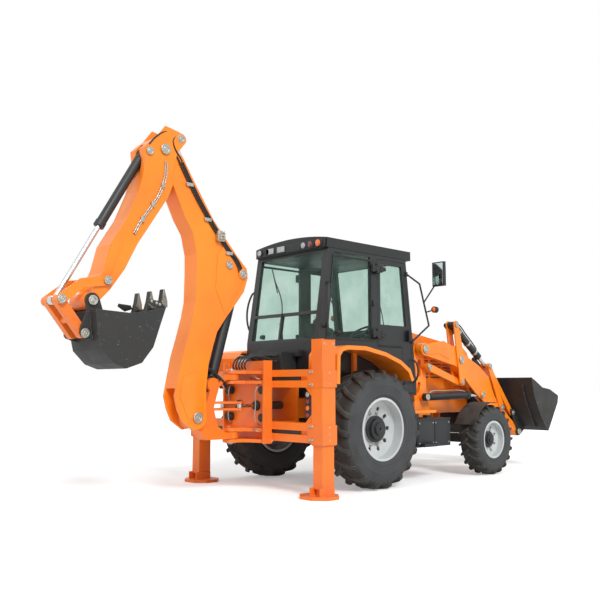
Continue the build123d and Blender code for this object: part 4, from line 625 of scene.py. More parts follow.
# Hub covers and wheel nuts.
hubs = {
    "rear": {
        "profile": ((40, 0), (40, 156), (66, 158), (70, 150), (72, 126), (114, 124), (118, 116), (118, 80),
                    (142, 78), (146, 72), (146, 20), (140, 12), (140, 0)),
        "nuts": 10, "nutRing": 196, "nutAt": 34, "nutSize": 17},
    "front": {
        "profile": ((26, 0), (26, 110), (48, 111), (52, 104), (53, 76), (78, 74), (80, 68), (80, 48),
                    (93, 47), (96, 42), (96, 0)),
        "nuts": 8, "nutRing": 140, "nutAt": 33, "nutSize": 14},
}
for end, hub in hubs.items():
    t = tyres[end]
    for sideName, side in (("left", 1), ("right", -1)):
        centre = place(t["x"], side * t["y"], t["radius"])
        form = bmesh.new()
        lathe(form, centre, (0, side, 0), hub["profile"], 64)
        makePiece(f"hubCover{end.title()}{sideName.title()}", form, ("satinPowderCoat",),
                  f"wheel_{end}_{sideName}")
        spots = []
        for k in range(hub["nuts"]):
            a = 2 * math.pi * (k + 0.5) / hub["nuts"]
            spots.append((centre + Vector((math.sin(a) * hub["nutRing"], side * hub["nutAt"],
                                           math.cos(a) * hub["nutRing"])) / 1000, (0, side, 0),
                          hub["nutSize"]))
        bolts(f"wheelNuts{end.title()}{sideName.title()}", spots, f"wheel_{end}_{sideName}")
print("hubs made")

# Seat.
seatShape = {"cell": 0.006, "pressure": 4.0, "stiffness": 40, "frames": 20, "heldBand": 0.02,
             "mostRise": 0.012}


def cushionForm(outline, low, high, crown):    # a plump pad: outline in mm, grown between two heights
    form = bmesh.new()
    rows = []
    for share, inset in ((0.0, 26), (0.10, 8), (0.30, 0), (0.62, 0), (0.86, 9), (0.97, 30), (1.0, 62)):
        height = low + (high - low) * share + (crown if share > 0.9 else 0) * (share - 0.9) * 10
        row = []
        middle = (sum(p[0] for p in outline) / len(outline), sum(p[1] for p in outline) / len(outline))
        for x, y in outline:
            reach = math.hypot(x - middle[0], y - middle[1])
            k = (reach - inset) / reach
            row.append(form.verts.new((middle[0] + (x - middle[0]) * k, middle[1] + (y - middle[1]) * k,
                                       height)))
        rows.append(row)
    count = len(outline)
    for first, second in zip(rows, rows[1:]):
        for k in range(count):
            form.faces.new((first[k], first[(k + 1) % count], second[(k + 1) % count], second[k]))
    for row, height in ((rows[0], low), (rows[-1], high + crown)):
        hub = form.verts.new((middle[0], middle[1], height))
        for k in range(count):
            form.faces.new((row[k], row[(k + 1) % count], hub))
    bmesh.ops.recalc_face_normals(form, faces=form.faces)
    return form


def roundedOutline(x0, x1, y0, y1, r, steps=6):
    corners = ((x1 - r, y1 - r, 0), (x0 + r, y1 - r, 90), (x0 + r, y0 + r, 180), (x1 - r, y0 + r, 270))
    turns = [(cx, cy, math.radians(a + 90 * k / steps)) for cx, cy, a in corners for k in range(steps + 1)]
    return [(cx + r * math.cos(turn), cy + r * math.sin(turn)) for cx, cy, turn in turns]


# Closes, remeshes and blows up a pad a little, so that its faces crown between seams
def plump(name, form, matrix):
    mesh = bpy.data.meshes.new(name)
    form.transform(matrix)
    form.to_mesh(mesh)
    form.free()
    pad = bpy.data.objects.new(name, mesh)
    bpy.context.scene.collection.objects.link(pad)
    even = pad.modifiers.new("even", "REMESH")
    even.mode, even.voxel_size = "VOXEL", seatShape["cell"] * 1
    smooth = pad.modifiers.new("soften", "SMOOTH")
    smooth.factor, smooth.iterations = 0.5, 4
    mesh = bpy.data.meshes.new_from_object(pad.evaluated_get(bpy.context.evaluated_depsgraph_get()))
    bpy.data.objects.remove(pad)
    pad = bpy.data.objects.new(name, mesh)
    bpy.context.scene.collection.objects.link(pad)
    floorLevel = min(v.co.z for v in mesh.vertices)
    held = pad.vertex_groups.new(name="held")
    held.add([v.index for v in mesh.vertices if v.co.z < floorLevel + seatShape["heldBand"]], 1.0,
             "REPLACE")
    cloth = pad.modifiers.new("cloth", "CLOTH")
    cloth.settings.use_pressure = True
    cloth.settings.uniform_pressure_force = seatShape["pressure"]
    cloth.settings.vertex_group_mass = "held"
    cloth.settings.effector_weights.gravity = 0.0
    cloth.settings.tension_stiffness = cloth.settings.compression_stiffness = seatShape["stiffness"]
    cloth.point_cache.frame_start, cloth.point_cache.frame_end = 1, seatShape["frames"]
    scene = bpy.context.scene
    for step in range(1, seatShape["frames"] + 1):
        scene.frame_set(step)
    blown = bpy.data.meshes.new_from_object(pad.evaluated_get(bpy.context.evaluated_depsgraph_get()))
    for vertex, rest in zip(blown.vertices, mesh.vertices):
        move = vertex.co - rest.co
        if move.length > seatShape["mostRise"]:
            vertex.co = rest.co + move.normalized() * seatShape["mostRise"]
    scene.frame_set(1)
    bpy.data.objects.remove(pad)
    pad = bpy.data.objects.new(name, blown)
    bpy.context.scene.collection.objects.link(pad)
    pad.data.materials.clear()
    pad.data.materials.append(finish["wovenCloth"])
    pad.data.shade_smooth()
    return pad


toMetres = Matrix.Translation((-drawingShift, 0, 0)) @ Matrix.Scale(0.001, 4)
# The back pads' length runs up the shell and their crowned side faces forward.
leaned = Matrix.Translation((-drawingShift + 0.096, 0, 1.560)) @ Matrix.Rotation(math.radians(-9), 4, "Y")
upright = leaned @ Matrix(((0, 0, 0.001, 0), (0, -0.001, 0, 0), (0.001, 0, 0, 0), (0, 0, 0, 1)))
pads = {
    "seatCushion": (cushionForm(roundedOutline(92, 556, -236, 236, 70), 1462, 1560, 8), toMetres),
    "backCushion": (cushionForm(roundedOutline(10, 400, -222, 222, 80), 6, 98, 8), upright),
    "headCushion": (cushionForm(roundedOutline(412, 520, -130, 130, 46), 20, 92, 6), upright),
}
for name, made in pads.items():
    pad = plump(name, *made)
    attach(pad, "chassis")
form = bmesh.new()    # pan, back shell and suspension bellows
block(form, (70, 560), (-225, 225), (1430, 1466), 0.012)
for level in range(7):
    narrow = level % 2
    wide = 150 - narrow * 16
    block(form, (190 + narrow * 10, 450 - narrow * 10), (-wide, wide), (1130 + level * 43, 1172 + level * 43),
          0.012)
plateXz(form, ((72, 1440), (104, 1440), (18, 2020), (-14, 2020)), -205, 205, 0.010)
makePiece("seatShell", form, ("grainedAbs",), "chassis")
seatPiping = [    # round the seat cushion's seam, and the headrest's two posts
    [(96, -214, 1562), (300, -230, 1566), (520, -214, 1562), (548, 0, 1562), (520, 214, 1562),
     (300, 230, 1566), (96, 214, 1562)],
    [(60, -80, 1990), (50, -80, 2080), (44, -80, 2120)],
    [(60, 80, 1990), (50, 80, 2080), (44, 80, 2120)],
]
hosePiece("seatPiping", seatPiping, 4, "hoseRubber", "chassis")
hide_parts("seat")
print("seat made")

# Pins of the linkages.
linkage = {    # where each link's own line starts in x and z, and the line's angle from forward
    "boom": {"start": (-1963.0, 861.0), "angle": 99.74, "length": 2961.0},
    "dipper": {"start": (-2463.9, 3779.3), "angle": 244.28},
    "arm": {"start": (1330.0, 1700.0), "angle": -27.73},
    "backhoeBucket": (-3295.0, 2054.0),
    "loaderBucket": (3565.0, 525.1),
    "liftRam": ((1380.0, 1060.0), (2649.6, 1085.4)),
    "tiltRam": ((2017.7, 2065.2), (2830.0, 1495.5)),
}


def onLine(origin, angle, u, v):    # u along a link, v to its left
    a = math.radians(angle)
    return (origin[0] + u * math.cos(a) - v * math.sin(a), origin[1] + u * math.sin(a) + v * math.cos(a))


def boomAt(share, v):
    boom = linkage["boom"]
    return onLine(boom["start"], boom["angle"], share * boom["length"], v)


def dipperAt(u, v):
    return onLine(linkage["dipper"]["start"], linkage["dipper"]["angle"], u, v)


def armAt(u, v):
    return onLine(linkage["arm"]["start"], linkage["arm"]["angle"], u, v)


def backhoeBucketAt(a, b):
    return (linkage["backhoeBucket"][0] + a, linkage["backhoeBucket"][1] + b)


def loaderBucketAt(a, b):
    return (linkage["loaderBucket"][0] + a, linkage["loaderBucket"][1] + b)


def ramSlope(ram):
    (x0, z0), (x1, z1) = linkage[ram]
    return math.degrees(math.atan2(z1 - z0, x1 - x0))


def ramAt(ram, u, v):
    return onLine(linkage[ram][0], ramSlope(ram), u, v)


def outlined(at, spots):    # a link's own pairs as points of the drawing
    return [at(u, v) for u, v in spots]


def route(spots, y):    # points of the drawing carried to one distance from the middle plane
    return [(x, y, z) for x, z in spots]


pinEnds = {    # body: (x, z, how far out the face lies, cap radius), on both sides of the machine
    "boom": ((-1963.0, 861.0, 138, 62), (-1545.2, 2600.1, 134, 48), (-1345.3, 2511.2, 142, 52)),
    "dipper": ((-2659.0, 3720.1, 154, 46), (-2463.9, 3779.3, 158, 60), (-2253.5, 3944.3, 142, 48)),
    "tipping_levers": ((-3133.5, 2267.1, 181, 46), (-3625.8, 2042.7, 181, 46)),
    "backhoe_bucket": ((-3295.0, 2054.0, 183, 52), (-3370.0, 1724.0, 183, 48)),
    "chassis": ((1330.0, 1700.0, 742, 58), (1435.0, 1465.0, 720, 42), (1380.0, 1060.0, 720, 44)),
    "loader_arms": ((2649.6, 1085.4, 746, 44),),
    "bell_cranks": ((2114.7, 1572.2, 765, 54), (2134.7, 1257.2, 763, 34)),
    "crank_pins": ((2017.7, 2065.2, 763, 40),),
    "tilt_pins": ((2830.0, 1495.5, 763, 38),),
    "lever_shafts": ((3130.0, 890.5, 763, 44),),
    "loader_bucket": ((3415.0, 810.1, 765, 36),),
    "bucket_hinge_pins": ((3565.0, 525.1, 767, 48),),
}
for body, ends in pinEnds.items():
    caps, keepers = [], []
    for x, z, out, r in ends:
        for side in (-1, 1):
            caps.append((place(x, side * out, z), (0, side, 0), r))
            for turn in (35, 215):
                a = math.radians(turn)
                boltX, boltZ = x + 0.62 * r * math.cos(a), z + 0.62 * r * math.sin(a)
                keepers.append((place(boltX, side * (out + 6), boltZ), (0, side, 0), 9))
    bodyWords = body.title().replace("_", "")
    pinCaps("pinCaps" + bodyWords, caps, body)
    bolts("pinBolts" + bodyWords, keepers, body)
print("pins made")

# Boom and dipper fittings.
boomFit = {"skin": 120, "plate": 7}
edgeRun = ((0.505, -905), (0.56, -862), (0.62, -735), (0.70, -592), (0.79, -445), (0.88, -322), (0.955, -232))
form = bmesh.new()
for side in (-1, 1):
    y0, y1 = side * boomFit["skin"], side * (boomFit["skin"] + boomFit["plate"])
    plateXz(form, outlined(boomAt, ((0.36, -560), (0.40, -660), (0.50, -930), (0.545, -930), (0.60, -800),
                                    (0.64, -690), (0.60, -560), (0.545, -520), (0.47, -470))), y0, y1, 0.003)
    plateXz(form, outlined(boomAt, ((0.0, 120), (0.09, 196), (0.16, 110), (0.17, -150), (0.08, -120),
                                    (0.0, -84))),
            y0, y1, 0.003)
makePiece("boomWearPlates", form, ("orangeEnamel",), "boom")
hosePiece("boomHoses", [route(outlined(boomAt, [(u, v + 26 * lane + 6) for u, v in edgeRun]),
                              -(132 + 5 * (lane % 2)))
                        for lane in range(3)], 9, "hoseRubber", "boom")
form = bmesh.new()    # hose clamps and the holding valve
for u, v in ((0.60, -748), (0.735, -500), (0.87, -308)):
    x, z = boomAt(u, v + 30)
    block(form, (x - 46, x + 46), (-148, -121), (z - 20, z + 20), 0.004)
x, z = boomAt(0.668, -610)
block(form, (x - 52, x + 44), (-176, -122), (z - 62, z + 62), 0.006)
block(form, (x - 36, x + 24), (-196, -172), (z - 44, z + 40), 0.004)
for step in (-34, 0, 34):
    lathe(form, place(x - 4, -190, z + step), (0, -1, 0), ((0, 0), (0, 15), (16, 15), (18, 11), (34, 11),
                                                           (34, 0)), 16)
    lathe(form, place(x + 40, -150, z + step), (1, 0, 0), ((0, 0), (0, 12), (26, 12), (26, 0)), 16)
makePiece("boomValve", form, ("zincPlate",), "boom")
loops = []    # hoses that leave the boom's head and reach the dipper's cylinders
for lane, y in enumerate((-150, -128, -106)):
    loops.append(route([boomAt(0.955, -206 + 26 * lane)], y) + route([boomAt(1.03, -120 + 12 * lane)], y + 10)
                 + [(-2330, y + 20, 3995 - 16 * lane), (-2450, y + 16, 3985 - 22 * lane),
                    (-2580, y + 4, 3900 - 22 * lane), (-2668, y, 3800 - 20 * lane)])
headLoop = hosePiece("headHoses", loops, 9, "hoseRubber", None)
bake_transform(headLoop)
# Place along the dipper, offset from its line, gap between the pipes
pipeRun = ((120, 60, 24), (300, 130, 24), (520, 150, 20), (900, 96, 18), (1050, 90, 18))
hosePiece("dipperPipes", [route([dipperAt(u, v + gap * lane) for u, v, gap in pipeRun], -152 - 3 * lane)
                          for lane in range(2)], 7, "zincPlate", "dipper")
form = bmesh.new()
for u, v in ((380, 152), (640, 142), (860, 112)):
    x, z = dipperAt(u, v)
    block(form, (x - 22, x + 22), (-170, -141), (z - 30, z + 30), 0.004)
makePiece("dipperClamps", form, ("zincPlate",), "dipper")
form = bmesh.new()
for side in (-1, 1):
    plateXz(form, outlined(dipperAt, ((1080, -60), (1290, -70), (1500, -30), (1660, -25), (1690, 20),
                                      (1560, 60), (1200, 40))), side * 142, side * 149, 0.003)
makePiece("dipperWearPlates", form, ("orangeEnamel",), "dipper")
form = bmesh.new()    # teeth: cast caps over the bucket's adaptors
for y in (-247, 0, 247):
    plateXz(form, outlined(backhoeBucketAt, ((724, 22), (744, 66), (753, 167), (769, 164), (806, 42),
                                             (810, -22), (780, -22))), y - 36, y + 36, 0.006)
makePiece("bucketTeeth", form, ("groundSteel",), "backhoe_bucket")
form = bmesh.new()
for side in (-1, 1):
    plateXz(form, outlined(backhoeBucketAt, ((640, -40), (735, -8), (716, 34), (560, 44), (552, 10))),
            side * 293, side * 303, 0.004)
makePiece("sideCutters", form, ("scrapedBlack",), "backhoe_bucket")
bolts("cutterBolts", [(place(x, side * 302, z), (0, side, 0), 13) for side in (-1, 1)
                      for x, z in outlined(backhoeBucketAt, ((600, 24), (660, 10), (700, -2)))],
      "backhoe_bucket")
print("backhoe fittings made")

# Lamps, mirrors and roof band.
roofLamps = (    # lens, facing back or forward, place across the roof, radius
    ("clearLens", -1, 560, 44), ("clearLens", -1, -270, 42), ("redLens", -1, -395, 44),
    ("amberLens", -1, -530, 48), ("clearLens", 1, 560, 50), ("clearLens", 1, 420, 50),
    ("clearLens", 1, -420, 50), ("clearLens", 1, -560, 50),
)
workLamps = (60, 270)    # right edges of the two square lamps at the back
for order, (lens, heading, y, r) in enumerate(roofLamps):
    form = bmesh.new()
    front = place(-504 if heading < 0 else 1148, y, 2942)
    lathe(form, front, (heading, 0, 0), ((-6, 0), (-6, r - 6), (2, r - 6), (6, r - 12), (9, r * 0.5),
                                         (10, 0)), 32)
    makePiece(f"roofLens{order}", form, (lens,), "chassis")
form = bmesh.new()    # dark fascia round the rear lamps
block(form, (-492, -466), (-640, 640), (2886, 2998), 0.010)
for y in workLamps:
    block(form, (-500, -490), (y, y + 170), (2896, 2992), 0.006)
makePiece("roofFascia", form, ("grainedAbs",), "chassis")
form = bmesh.new()
for y in workLamps:
    block(form, (-504, -499), (y + 14, y + 156), (2908, 2980), 0.004)
makePiece("roofWorkLamps", form, ("clearLens",), "chassis")
form = bmesh.new()
for side in (-1, 1):
    block(form, (1210, 1219), (side * 962, side * 1126), (2530, 2820), 0.012)
makePiece("mirrorPanes", form, ("mirrorGlass",), "chassis")
form = bmesh.new()
dome = ((0, 34), (10, 34), (18, 26), (22, 10), (22, 0))
for side in (-1, 1):
    lathe(form, place(1256, side * 930, 2215), (-1, 0, 0), ((0, 0), *dome), 24)
    lathe(form, place(1314, side * 930, 2215), (1, 0, 0), ((0, 0), *dome), 24)
makePiece("turnLamps", form, ("amberLens",), "chassis")
form = bmesh.new()    # tail lamp strips beside the stabiliser housings
for side in (-1, 1):
    block(form, (-1078, -1056), (side * 905, side * 1014), (850, 1150), 0.008)
    for step, lens in enumerate((1, 2, 1, 3)):
        lathe(form, place(-1077, side * 945, 890 + step * 74), (-1, 0, 0),
              ((0, 0), (0, 27), (6, 26), (10, 16), (11, 0)), 24, lens)
makePiece("tailLamps", form, ("grainedAbs", "redLens", "amberLens", "clearLens"), "chassis")
print("lamps made")

# Cab fittings.
def windowSeal(form, outline, y0, y1, wide):    # a moulded seal round a side window
    count = len(outline)
    midX, midZ = sum(x for x, z in outline) / count, sum(z for x, z in outline) / count
    inner = []
    for x, z in outline:
        reach = math.hypot(x - midX, z - midZ)
        inner.append((midX + (x - midX) * (reach - wide) / reach, midZ + (z - midZ) * (reach - wide) / reach))
    for k in range(count):
        n = (k + 1) % count
        plateXz(form, (outline[k], outline[n], inner[n], inner[k]), y0, y1, 0.002)


form = bmesh.new()
for side in (-1, 1):
    windowSeal(form, ((-502, 1768), (330, 1768), (330, 2806), (-372, 2806)), side * 661, side * 669, 34)
    for z in (1862, 2698):    # cast hinge arms on the pillar
        block(form, (296, 384), (side * 664, side * 724), (z - 40, z + 40), 0.018)
        block(form, (452, 548), (side * 664, side * 721 - 3), (z - 26, z + 30), 0.014)
        for x, r, drop in ((404, 34, 66), (318, 24, 52), (470, 26, 44)):
            lathe(form, place(x, side * 704, z - drop), (0, 0, 1),
                  ((0, 0), (0, r - 6), (6, r), (2 * drop - 6, r), (2 * drop, r - 6), (2 * drop, 0)), 20)
    block(form, (330, 366), (side * 664, side * 690), (2210, 2290), 0.008)
    # Quarter window's catch and knob
    block(form, (-360, -300), (side * 664, side * 700), (1820, 1880), 0.012)
    lathe(form, place(-330, side * 696, 1850), (0, side, 0),
          ((0, 0), (0, 20), (8, 26), (22, 26), (30, 18), (32, 0)), 24)
block(form, (-700, -560), (-380, 330), (1560, 1580), 0.006)    # tray below the rear window
for y in (-380, 310):
    block(form, (-700, -560), (y, y + 20), (1580, 1640), 0.006)
block(form, (-706, -690), (-380, 330), (1560, 1640), 0.006)
block(form, (-470, 1110), (-600, 600), (2872, 2884), 0.003)    # headlining's edge
makePiece("cabTrim", form, ("grainedAbs",), "chassis")
handles = (    # beside the door, then on the rear pillar
    ((1120, 672, 1250), (1135, 726, 1300), (1140, 730, 1500), (1118, 676, 1560)),
    ((-520, 672, 1900), (-545, 716, 1950), (-500, 716, 2400), (-462, 672, 2450)),
)
hosePiece("cabHandles", [[(x, side * y, z) for x, y, z in handle] for handle in handles for side in (-1, 1)],
          13, "satinPowderCoat", "chassis")
wipers = {
    "rearWiper": [[(-560, 40, 1960), (-572, 40, 1990), (-556, 60, 2250), (-536, 220, 2560)],
                  [(-548, 150, 2380), (-520, 290, 2720)]],
    "frontWiper": [[(1182, -120, 2000), (1192, -120, 2030), (1160, -60, 2380), (1132, 60, 2620)]],
}
for name, arms in wipers.items():
    hosePiece(name, arms, 7, "grainedAbs", "chassis")
for sideName, side in (("left", 1), ("right", -1)):
    form = bmesh.new()
    block(form, (960, 1110), (side * 662, side * 668), (1235, 1290), 0.004)
    block(form, (470, 900), (side * 662, side * 668), (1720, 1735), 0.003)
    block(form, (1018, 1072), (side * 661, side * 712), (1790, 1940), 0.012)
    lathe(form, place(1045, side * 712, 1900), (0, side, 0), ((0, 0), (0, 14), (6, 14), (8, 10), (8, 0)), 20)
    makePiece(f"doorTrim{sideName.title()}", form, ("grainedAbs",), f"door_{sideName}")
print("cab fittings made")

# Hydraulics in the rear frame and on the carriage.
form = bmesh.new()
for y in range(-210, 211, 70):    # spool valve bank
    block(form, (-870, -700), (y - 30, y + 30), (1440, 1600), 0.006)
    lathe(form, place(-872, y, 1570), (-1, 0, 0), ((0, 0), (0, 19), (26, 19), (30, 14), (58, 14), (60, 0)),
          16)
    lathe(form, place(-872, y, 1500), (-1, 0, 0), ((0, 0), (0, 22), (14, 22), (16, 15), (44, 15), (44, 0)), 6)
makePiece("valveBank", form, ("castIron",), "chassis")
nest = []
for lane, y in enumerate((-210, -140, -70, 0, 70, 140)):
    reach = -1290 - 14 * (lane % 3)
    nest.append([(-925, y, 1500), (-1010, y * 0.9, 1530 + 12 * (lane % 2)), (-1120, y * 0.7, 1555),
                 (reach + 60, y * 0.55, 1530), (reach, y * 0.5, 1440), (reach + 18, y * 0.5, 1400)])
crossing = hosePiece("carriageHoses", nest, 11, "hoseRubber", None)
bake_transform(crossing)
pipes = []
for side in (-1, 1):
    for level in (690, 1290):
        pipes.append([(-1185, side * 300, level), (-1235, side * 290, level), (-1250, side * 230, level + 30),
                      (-1235, side * 150, level + 20), (-1190, side * 120, level)])
    pipes.append([(-1185, side * 250, 760), (-1230, side * 250, 800), (-1232, side * 240, 1000),
                  (-1228, side * 250, 1180), (-1185, side * 250, 1230)])
hosePiece("clampPipes", pipes, 6, "zincPlate", "carriage")
bolts("carriageBolts", [(place(-1182, side * 350, z), (-1, 0, 0), 14) for side in (-1, 1)
                        for z in (610, 700, 830, 1100, 1180, 1270, 1370, 1450)], "carriage")
frameBolts = [(place(-1101, side * y, z), (-1, 0, 0), 14)
              for side in (-1, 1) for y in (1000, 1040) for z in (620, 766, 1222, 1358)]
frameBolts += [(place(-995, side * 1196, z), (0, side, 0), 14)
               for side in (-1, 1) for z in (620, 690, 760, 1230, 1350)]
frameBolts += [(place(x, side * 1196, 1660), (0, side, 0), 12) for side in (-1, 1) for x in (-1060, -930)]
bolts("frameBolts", frameBolts, "chassis")
form = bmesh.new()    # slide strips in the beams' slots, and the plates on top of the leg housings
for span in ((1262, 1318), (668, 720)):
    block(form, (-1086, -1072), (-830, 830), span, 0.003)
for side in (-1, 1):
    block(form, (-1075, -915), (side * 1012, side * 1208), (1716, 1728), 0.004)
makePiece("slideStrips", form, ("satinPowderCoat",), "chassis")
kingHoses = [[(-1500, y, 1180), (-1560, y * 1.6, 1240), (-1680, y * 1.8, 1330), (-1800, y * 1.7, 1400),
              (-1905, y * 1.6, 1330), (-1950, y * 1.55, 1180)] for y in (-54, -30, 30, 54)]
rootHoses = hosePiece("footHoses", kingHoses, 10, "hoseRubber", None)
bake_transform(rootHoses)
for name, height, end in (("slewCapFoot", 562, -1), ("slewCapTop", 1384, 1)):
    form = bmesh.new()
    lathe(form, place(-1400, 0, height), (0, 0, end),
          ((-10, 0), (-10, 64), (6, 64), (10, 58), (10, 26), (22, 24), (22, 0)), 32)
    makePiece(name, form, ("zincPlate",), "carriage")
print("hydraulics made")

# Engine cover, nose and side boxes.
louvre = bmesh.new()    # one of the slats along the bonnet's flanks
slab(louvre, Vector((-0.115, -0.004, -0.009)), Vector((0.115, 0.004, 0.009)), 0.003)
spots = [(place(1640 + 290 * bay, side * 443, 1330 + 46 * k), (0.5 * side, 0.0, 0.0), (1.0, 1.0, 1.0))
         for side in (-1, 1) for bay in range(3) for k in range(7)]
showPiece("bonnetLouvres", copiesMesh("bonnetLouvres", louvre, spots, "satinPowderCoat"), "bonnet")
form = bmesh.new()    # headlamps let into the nose, each in a dark bezel
for side in (-1, 1):
    for level, r in ((1420, 62), (1290, 46)):
        spot = place(2796, side * 350, level)
        lathe(form, spot, (1, 0, 0), ((-20, 0), (-20, r + 14), (8, r + 14), (14, r + 8), (14, r)), 32, 0)
        lathe(form, spot, (1, 0, 0), ((-16, 0), (-16, r), (8, r), (16, r * 0.6), (19, 0)), 32, 1)
makePiece("headLamps", form, ("grainedAbs", "clearLens"), "chassis")
form = bmesh.new()    # lids, panels and treads of the side boxes
for side in (-1, 1):
    block(form, (848, 1572), (side * 462, side * 948), (772, 792), 0.008)
    for span in ((884, 1200), (1222, 1536)):
        block(form, span, (side * 938, side * 946), (462, 752), 0.004)
    block(form, (915, 1205), (side * 900, side * 1012), (436, 448), 0.003)
    for step in range(7):
        block(form, (925 + step * 40, 945 + step * 40), (side * 900, side * 1012), (468, 478), 0.002)
    lathe(form, place(1380, side * 700, 790), (0, 0, 1), ((0, 0), (0, 62), (26, 62), (34, 54), (34, 0)), 32)
makePiece("sideBoxTrim", form, ("satinPowderCoat",), "chassis")
bolts("boxBolts", [(place(x, side * 946, z), (0, side, 0), 9) for side in (-1, 1)
                   for x in (900, 1184, 1238, 1520) for z in (480, 734)], "chassis")
print("bodywork made")

# Loader: edges, hoses, pipes.
form = bmesh.new()    # bolt-on cutting edge inside the lip
plateXz(form, outlined(loaderBucketAt, ((415, 356), (463, 424), (488, 530), (478, 534), (452, 430),
                                        (404, 364))),
        -1157, 1157, 0.002)
makePiece("cuttingEdge", form, ("groundSteel",), "loader_bucket")
x, z = loaderBucketAt(447, 420)
bolts("edgeBolts", [(place(x, y, z), (-0.82, 0, 0.57), 15) for y in range(-1050, 1051, 150)],
      "loader_bucket", "groundSteel")
form = bmesh.new()    # stiffening ribs on the back and the roll along the top
for y in (-1000, -420, 0, 420, 1000):
    plateXz(form, outlined(loaderBucketAt, ((-262, 700), (-205, 515), (-30, 205), (88, 70), (76, 55),
                                            (-52, 196), (-228, 508), (-276, 690))), y - 12, y + 12, 0.002)
plateXz(form, outlined(loaderBucketAt, ((-272, 798), (-252, 730), (-236, 730), (-246, 800))), -1150, 1150,
        0.004)
makePiece("bucketRibs", form, ("scrapedBlack",), "loader_bucket")
form = bmesh.new()
block(form, (4030, 4052), (-1158, -1120), (1030, 1058), 0.004)
makePiece("cornerFlag", form, ("redLens",), "loader_bucket")
# Along the ram, share of the offset
tiltHoseRun = ((40, 0.95), (130, 1.35), (320, 1.2), (520, 1.1), (650, 0.9))
hosePiece("tiltRamHoses", [route([ramAt("tiltRam", u, v * share) for u, share in tiltHoseRun],
                                 side * (664 + 26 * lane))
                           for side in (-1, 1) for lane, v in ((0, 62), (1, 70))], 9, "hoseRubber",
          "tilt_ram_barrels")
form = bmesh.new()
slope = math.radians(ramSlope("tiltRam"))
for side in (-1, 1):
    for u in (170, 430, 640):
        x, z = ramAt("tiltRam", u, 0)
        lathe(form, place(x, side * 680, z), (math.cos(slope), 0, math.sin(slope)),
              ((-16, 44), (-16, 52), (16, 52), (16, 44)), 32)
makePiece("tiltRamClamps", form, ("zincPlate",), "tilt_ram_barrels")
liftPipeRun = ((70, 50), (120, 72), (400, 76), (760, 74), (900, 54))
hosePiece("liftRamPipes", [route([ramAt("liftRam", u, v) for u, v in liftPipeRun], side * 690)
                           for side in (-1, 1)],
          7, "hardChrome", "lift_ram_barrels")
armPipeRun = ((60, 20), (260, 130), (620, 300), (1000, 330), (1400, 290), (1640, 190))
hosePiece("armPipes", [route([armAt(u, v + 24 * lane) for u, v in armPipeRun], side * (622 - 12 * lane))
                       for side in (-1, 1) for lane in range(2)], 8, "hoseRubber", "loader_arms")
armDoublers = (    # round the arm's front end, then round its rear pivot
    ((1600, 6), (1660, 170), (1800, 150), (2240, 70), (2470, 52), (2470, -50), (1760, -16)),
    ((-30, 60), (300, 300), (520, 340), (520, 130), (300, 96), (40, -60)),
)
form = bmesh.new()
for side in (-1, 1):
    for outline in armDoublers:
        plateXz(form, outlined(armAt, outline), side * 730, side * 737, 0.003)
makePiece("armDoublers", form, ("orangeEnamel",), "loader_arms")
print("loader fittings made")

# Floor, world, lamps and camera.
def stageFloor():
    form = bmesh.new()
    corners = [form.verts.new((x, y, -0.001)) for x, y in ((-90, -90), (90, -90), (90, 90), (-90, 90))]
    form.faces.new(corners)
    mesh = bpy.data.meshes.new("studioFloor")
    form.to_mesh(mesh)
    form.free()
    material, tree = newMaterial("studioPaper")    # seamless white paper
    spot = addNode(tree, "ShaderNodeTexCoord").outputs["Object"]
    fibre = addNode(tree, "ShaderNodeTexNoise", {"Vector": spot, "Scale": 4.0, "Detail": 3.0}).outputs["Fac"]
    seen = addNode(tree, "ShaderNodeLightPath").outputs["Is Camera Ray"]
    glow = addNode(tree, "ShaderNodeMath", {0: seen, 1: 0.30}, operation="MULTIPLY").outputs[0]
    white = addNode(tree, "ShaderNodeMix", {0: fibre, 6: linear("#F4F4F4"), 7: linear("#F8F8F8")},
                    data_type="RGBA")
    shader = addNode(tree, "ShaderNodeBsdfPrincipled", {
        "Base Color": white.outputs[2], "Roughness": 0.9,
        "Emission Color": (1.0, 1.0, 1.0, 1.0), "Emission Strength": glow})
    addNode(tree, "ShaderNodeOutputMaterial", {"Surface": shader.outputs[0]})
    mesh.materials.append(material)
    floor = bpy.data.objects.new("studioFloor", mesh)
    bpy.context.scene.collection.objects.link(floor)


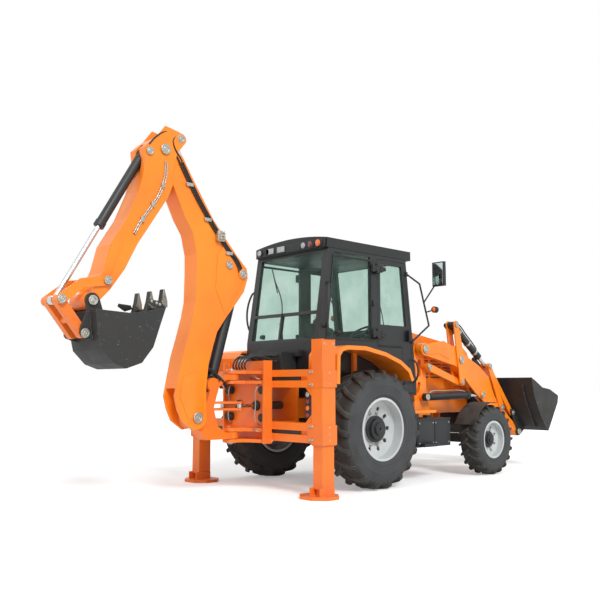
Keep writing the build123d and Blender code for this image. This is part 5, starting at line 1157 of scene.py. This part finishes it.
stageFloor()
world = bpy.data.worlds.new("whiteStudio")
world.use_nodes = True
world.node_tree.nodes.clear()
path = addNode(world.node_tree, "ShaderNodeLightPath")
direct = addNode(world.node_tree, "ShaderNodeMath", {0: path.outputs["Is Camera Ray"],
                                                     1: path.outputs["Is Glossy Ray"]},
                 operation="ADD")
either = addNode(world.node_tree, "ShaderNodeMath",
                 {0: direct.outputs[0], 1: path.outputs["Is Transmission Ray"]}, operation="ADD",
                 use_clamp=True)
dim = addNode(world.node_tree, "ShaderNodeBackground", {"Color": (1.0, 1.0, 1.0, 1.0), "Strength": 0.62})
bright = addNode(world.node_tree, "ShaderNodeBackground", {"Color": (1.0, 1.0, 1.0, 1.0), "Strength": 1.0})
sky = addNode(world.node_tree, "ShaderNodeMixShader", {0: either.outputs[0], 1: dim.outputs[0],
                                                       2: bright.outputs[0]})
addNode(world.node_tree, "ShaderNodeOutputWorld", {"Surface": sky.outputs[0]})
bpy.context.scene.world = world

lamps = {    # name: direction that it shines in, strength, angle in degrees
    "keySun": ((0.30, 0.72, -0.62), 2.1, 18),
    "fillSun": ((0.8, -0.35, -0.35), 0.35, 60),
}
for name, (heading, strength, spread) in lamps.items():
    light = bpy.data.lights.new(name, "SUN")
    light.energy, light.angle = strength, math.radians(spread)
    lamp = bpy.data.objects.new(name, light)
    lamp.rotation_euler = Vector(heading).to_track_quat("-Z", "Y").to_euler()
    bpy.context.scene.collection.objects.link(lamp)

cameraView = {"place": (-7.2846, -7.178, 1.203), "yaw": 46.553, "pitch": 6.319, "lens": 46.78}
lens = bpy.data.cameras.new("standingView")
lens.lens, lens.sensor_width = cameraView["lens"], 36.0
camera = bpy.data.objects.new("standingView", lens)
camera.location = cameraView["place"]
yaw, pitch = math.radians(cameraView["yaw"]), math.radians(cameraView["pitch"])
camera.rotation_euler = Vector((math.cos(pitch) * math.cos(yaw), math.cos(pitch) * math.sin(yaw),
                                math.sin(pitch))).to_track_quat("-Z", "Y").to_euler()
bpy.context.scene.collection.objects.link(camera)
bpy.context.scene.camera = camera
bpy.context.scene.view_settings.view_transform = "Standard"

print("stage set")
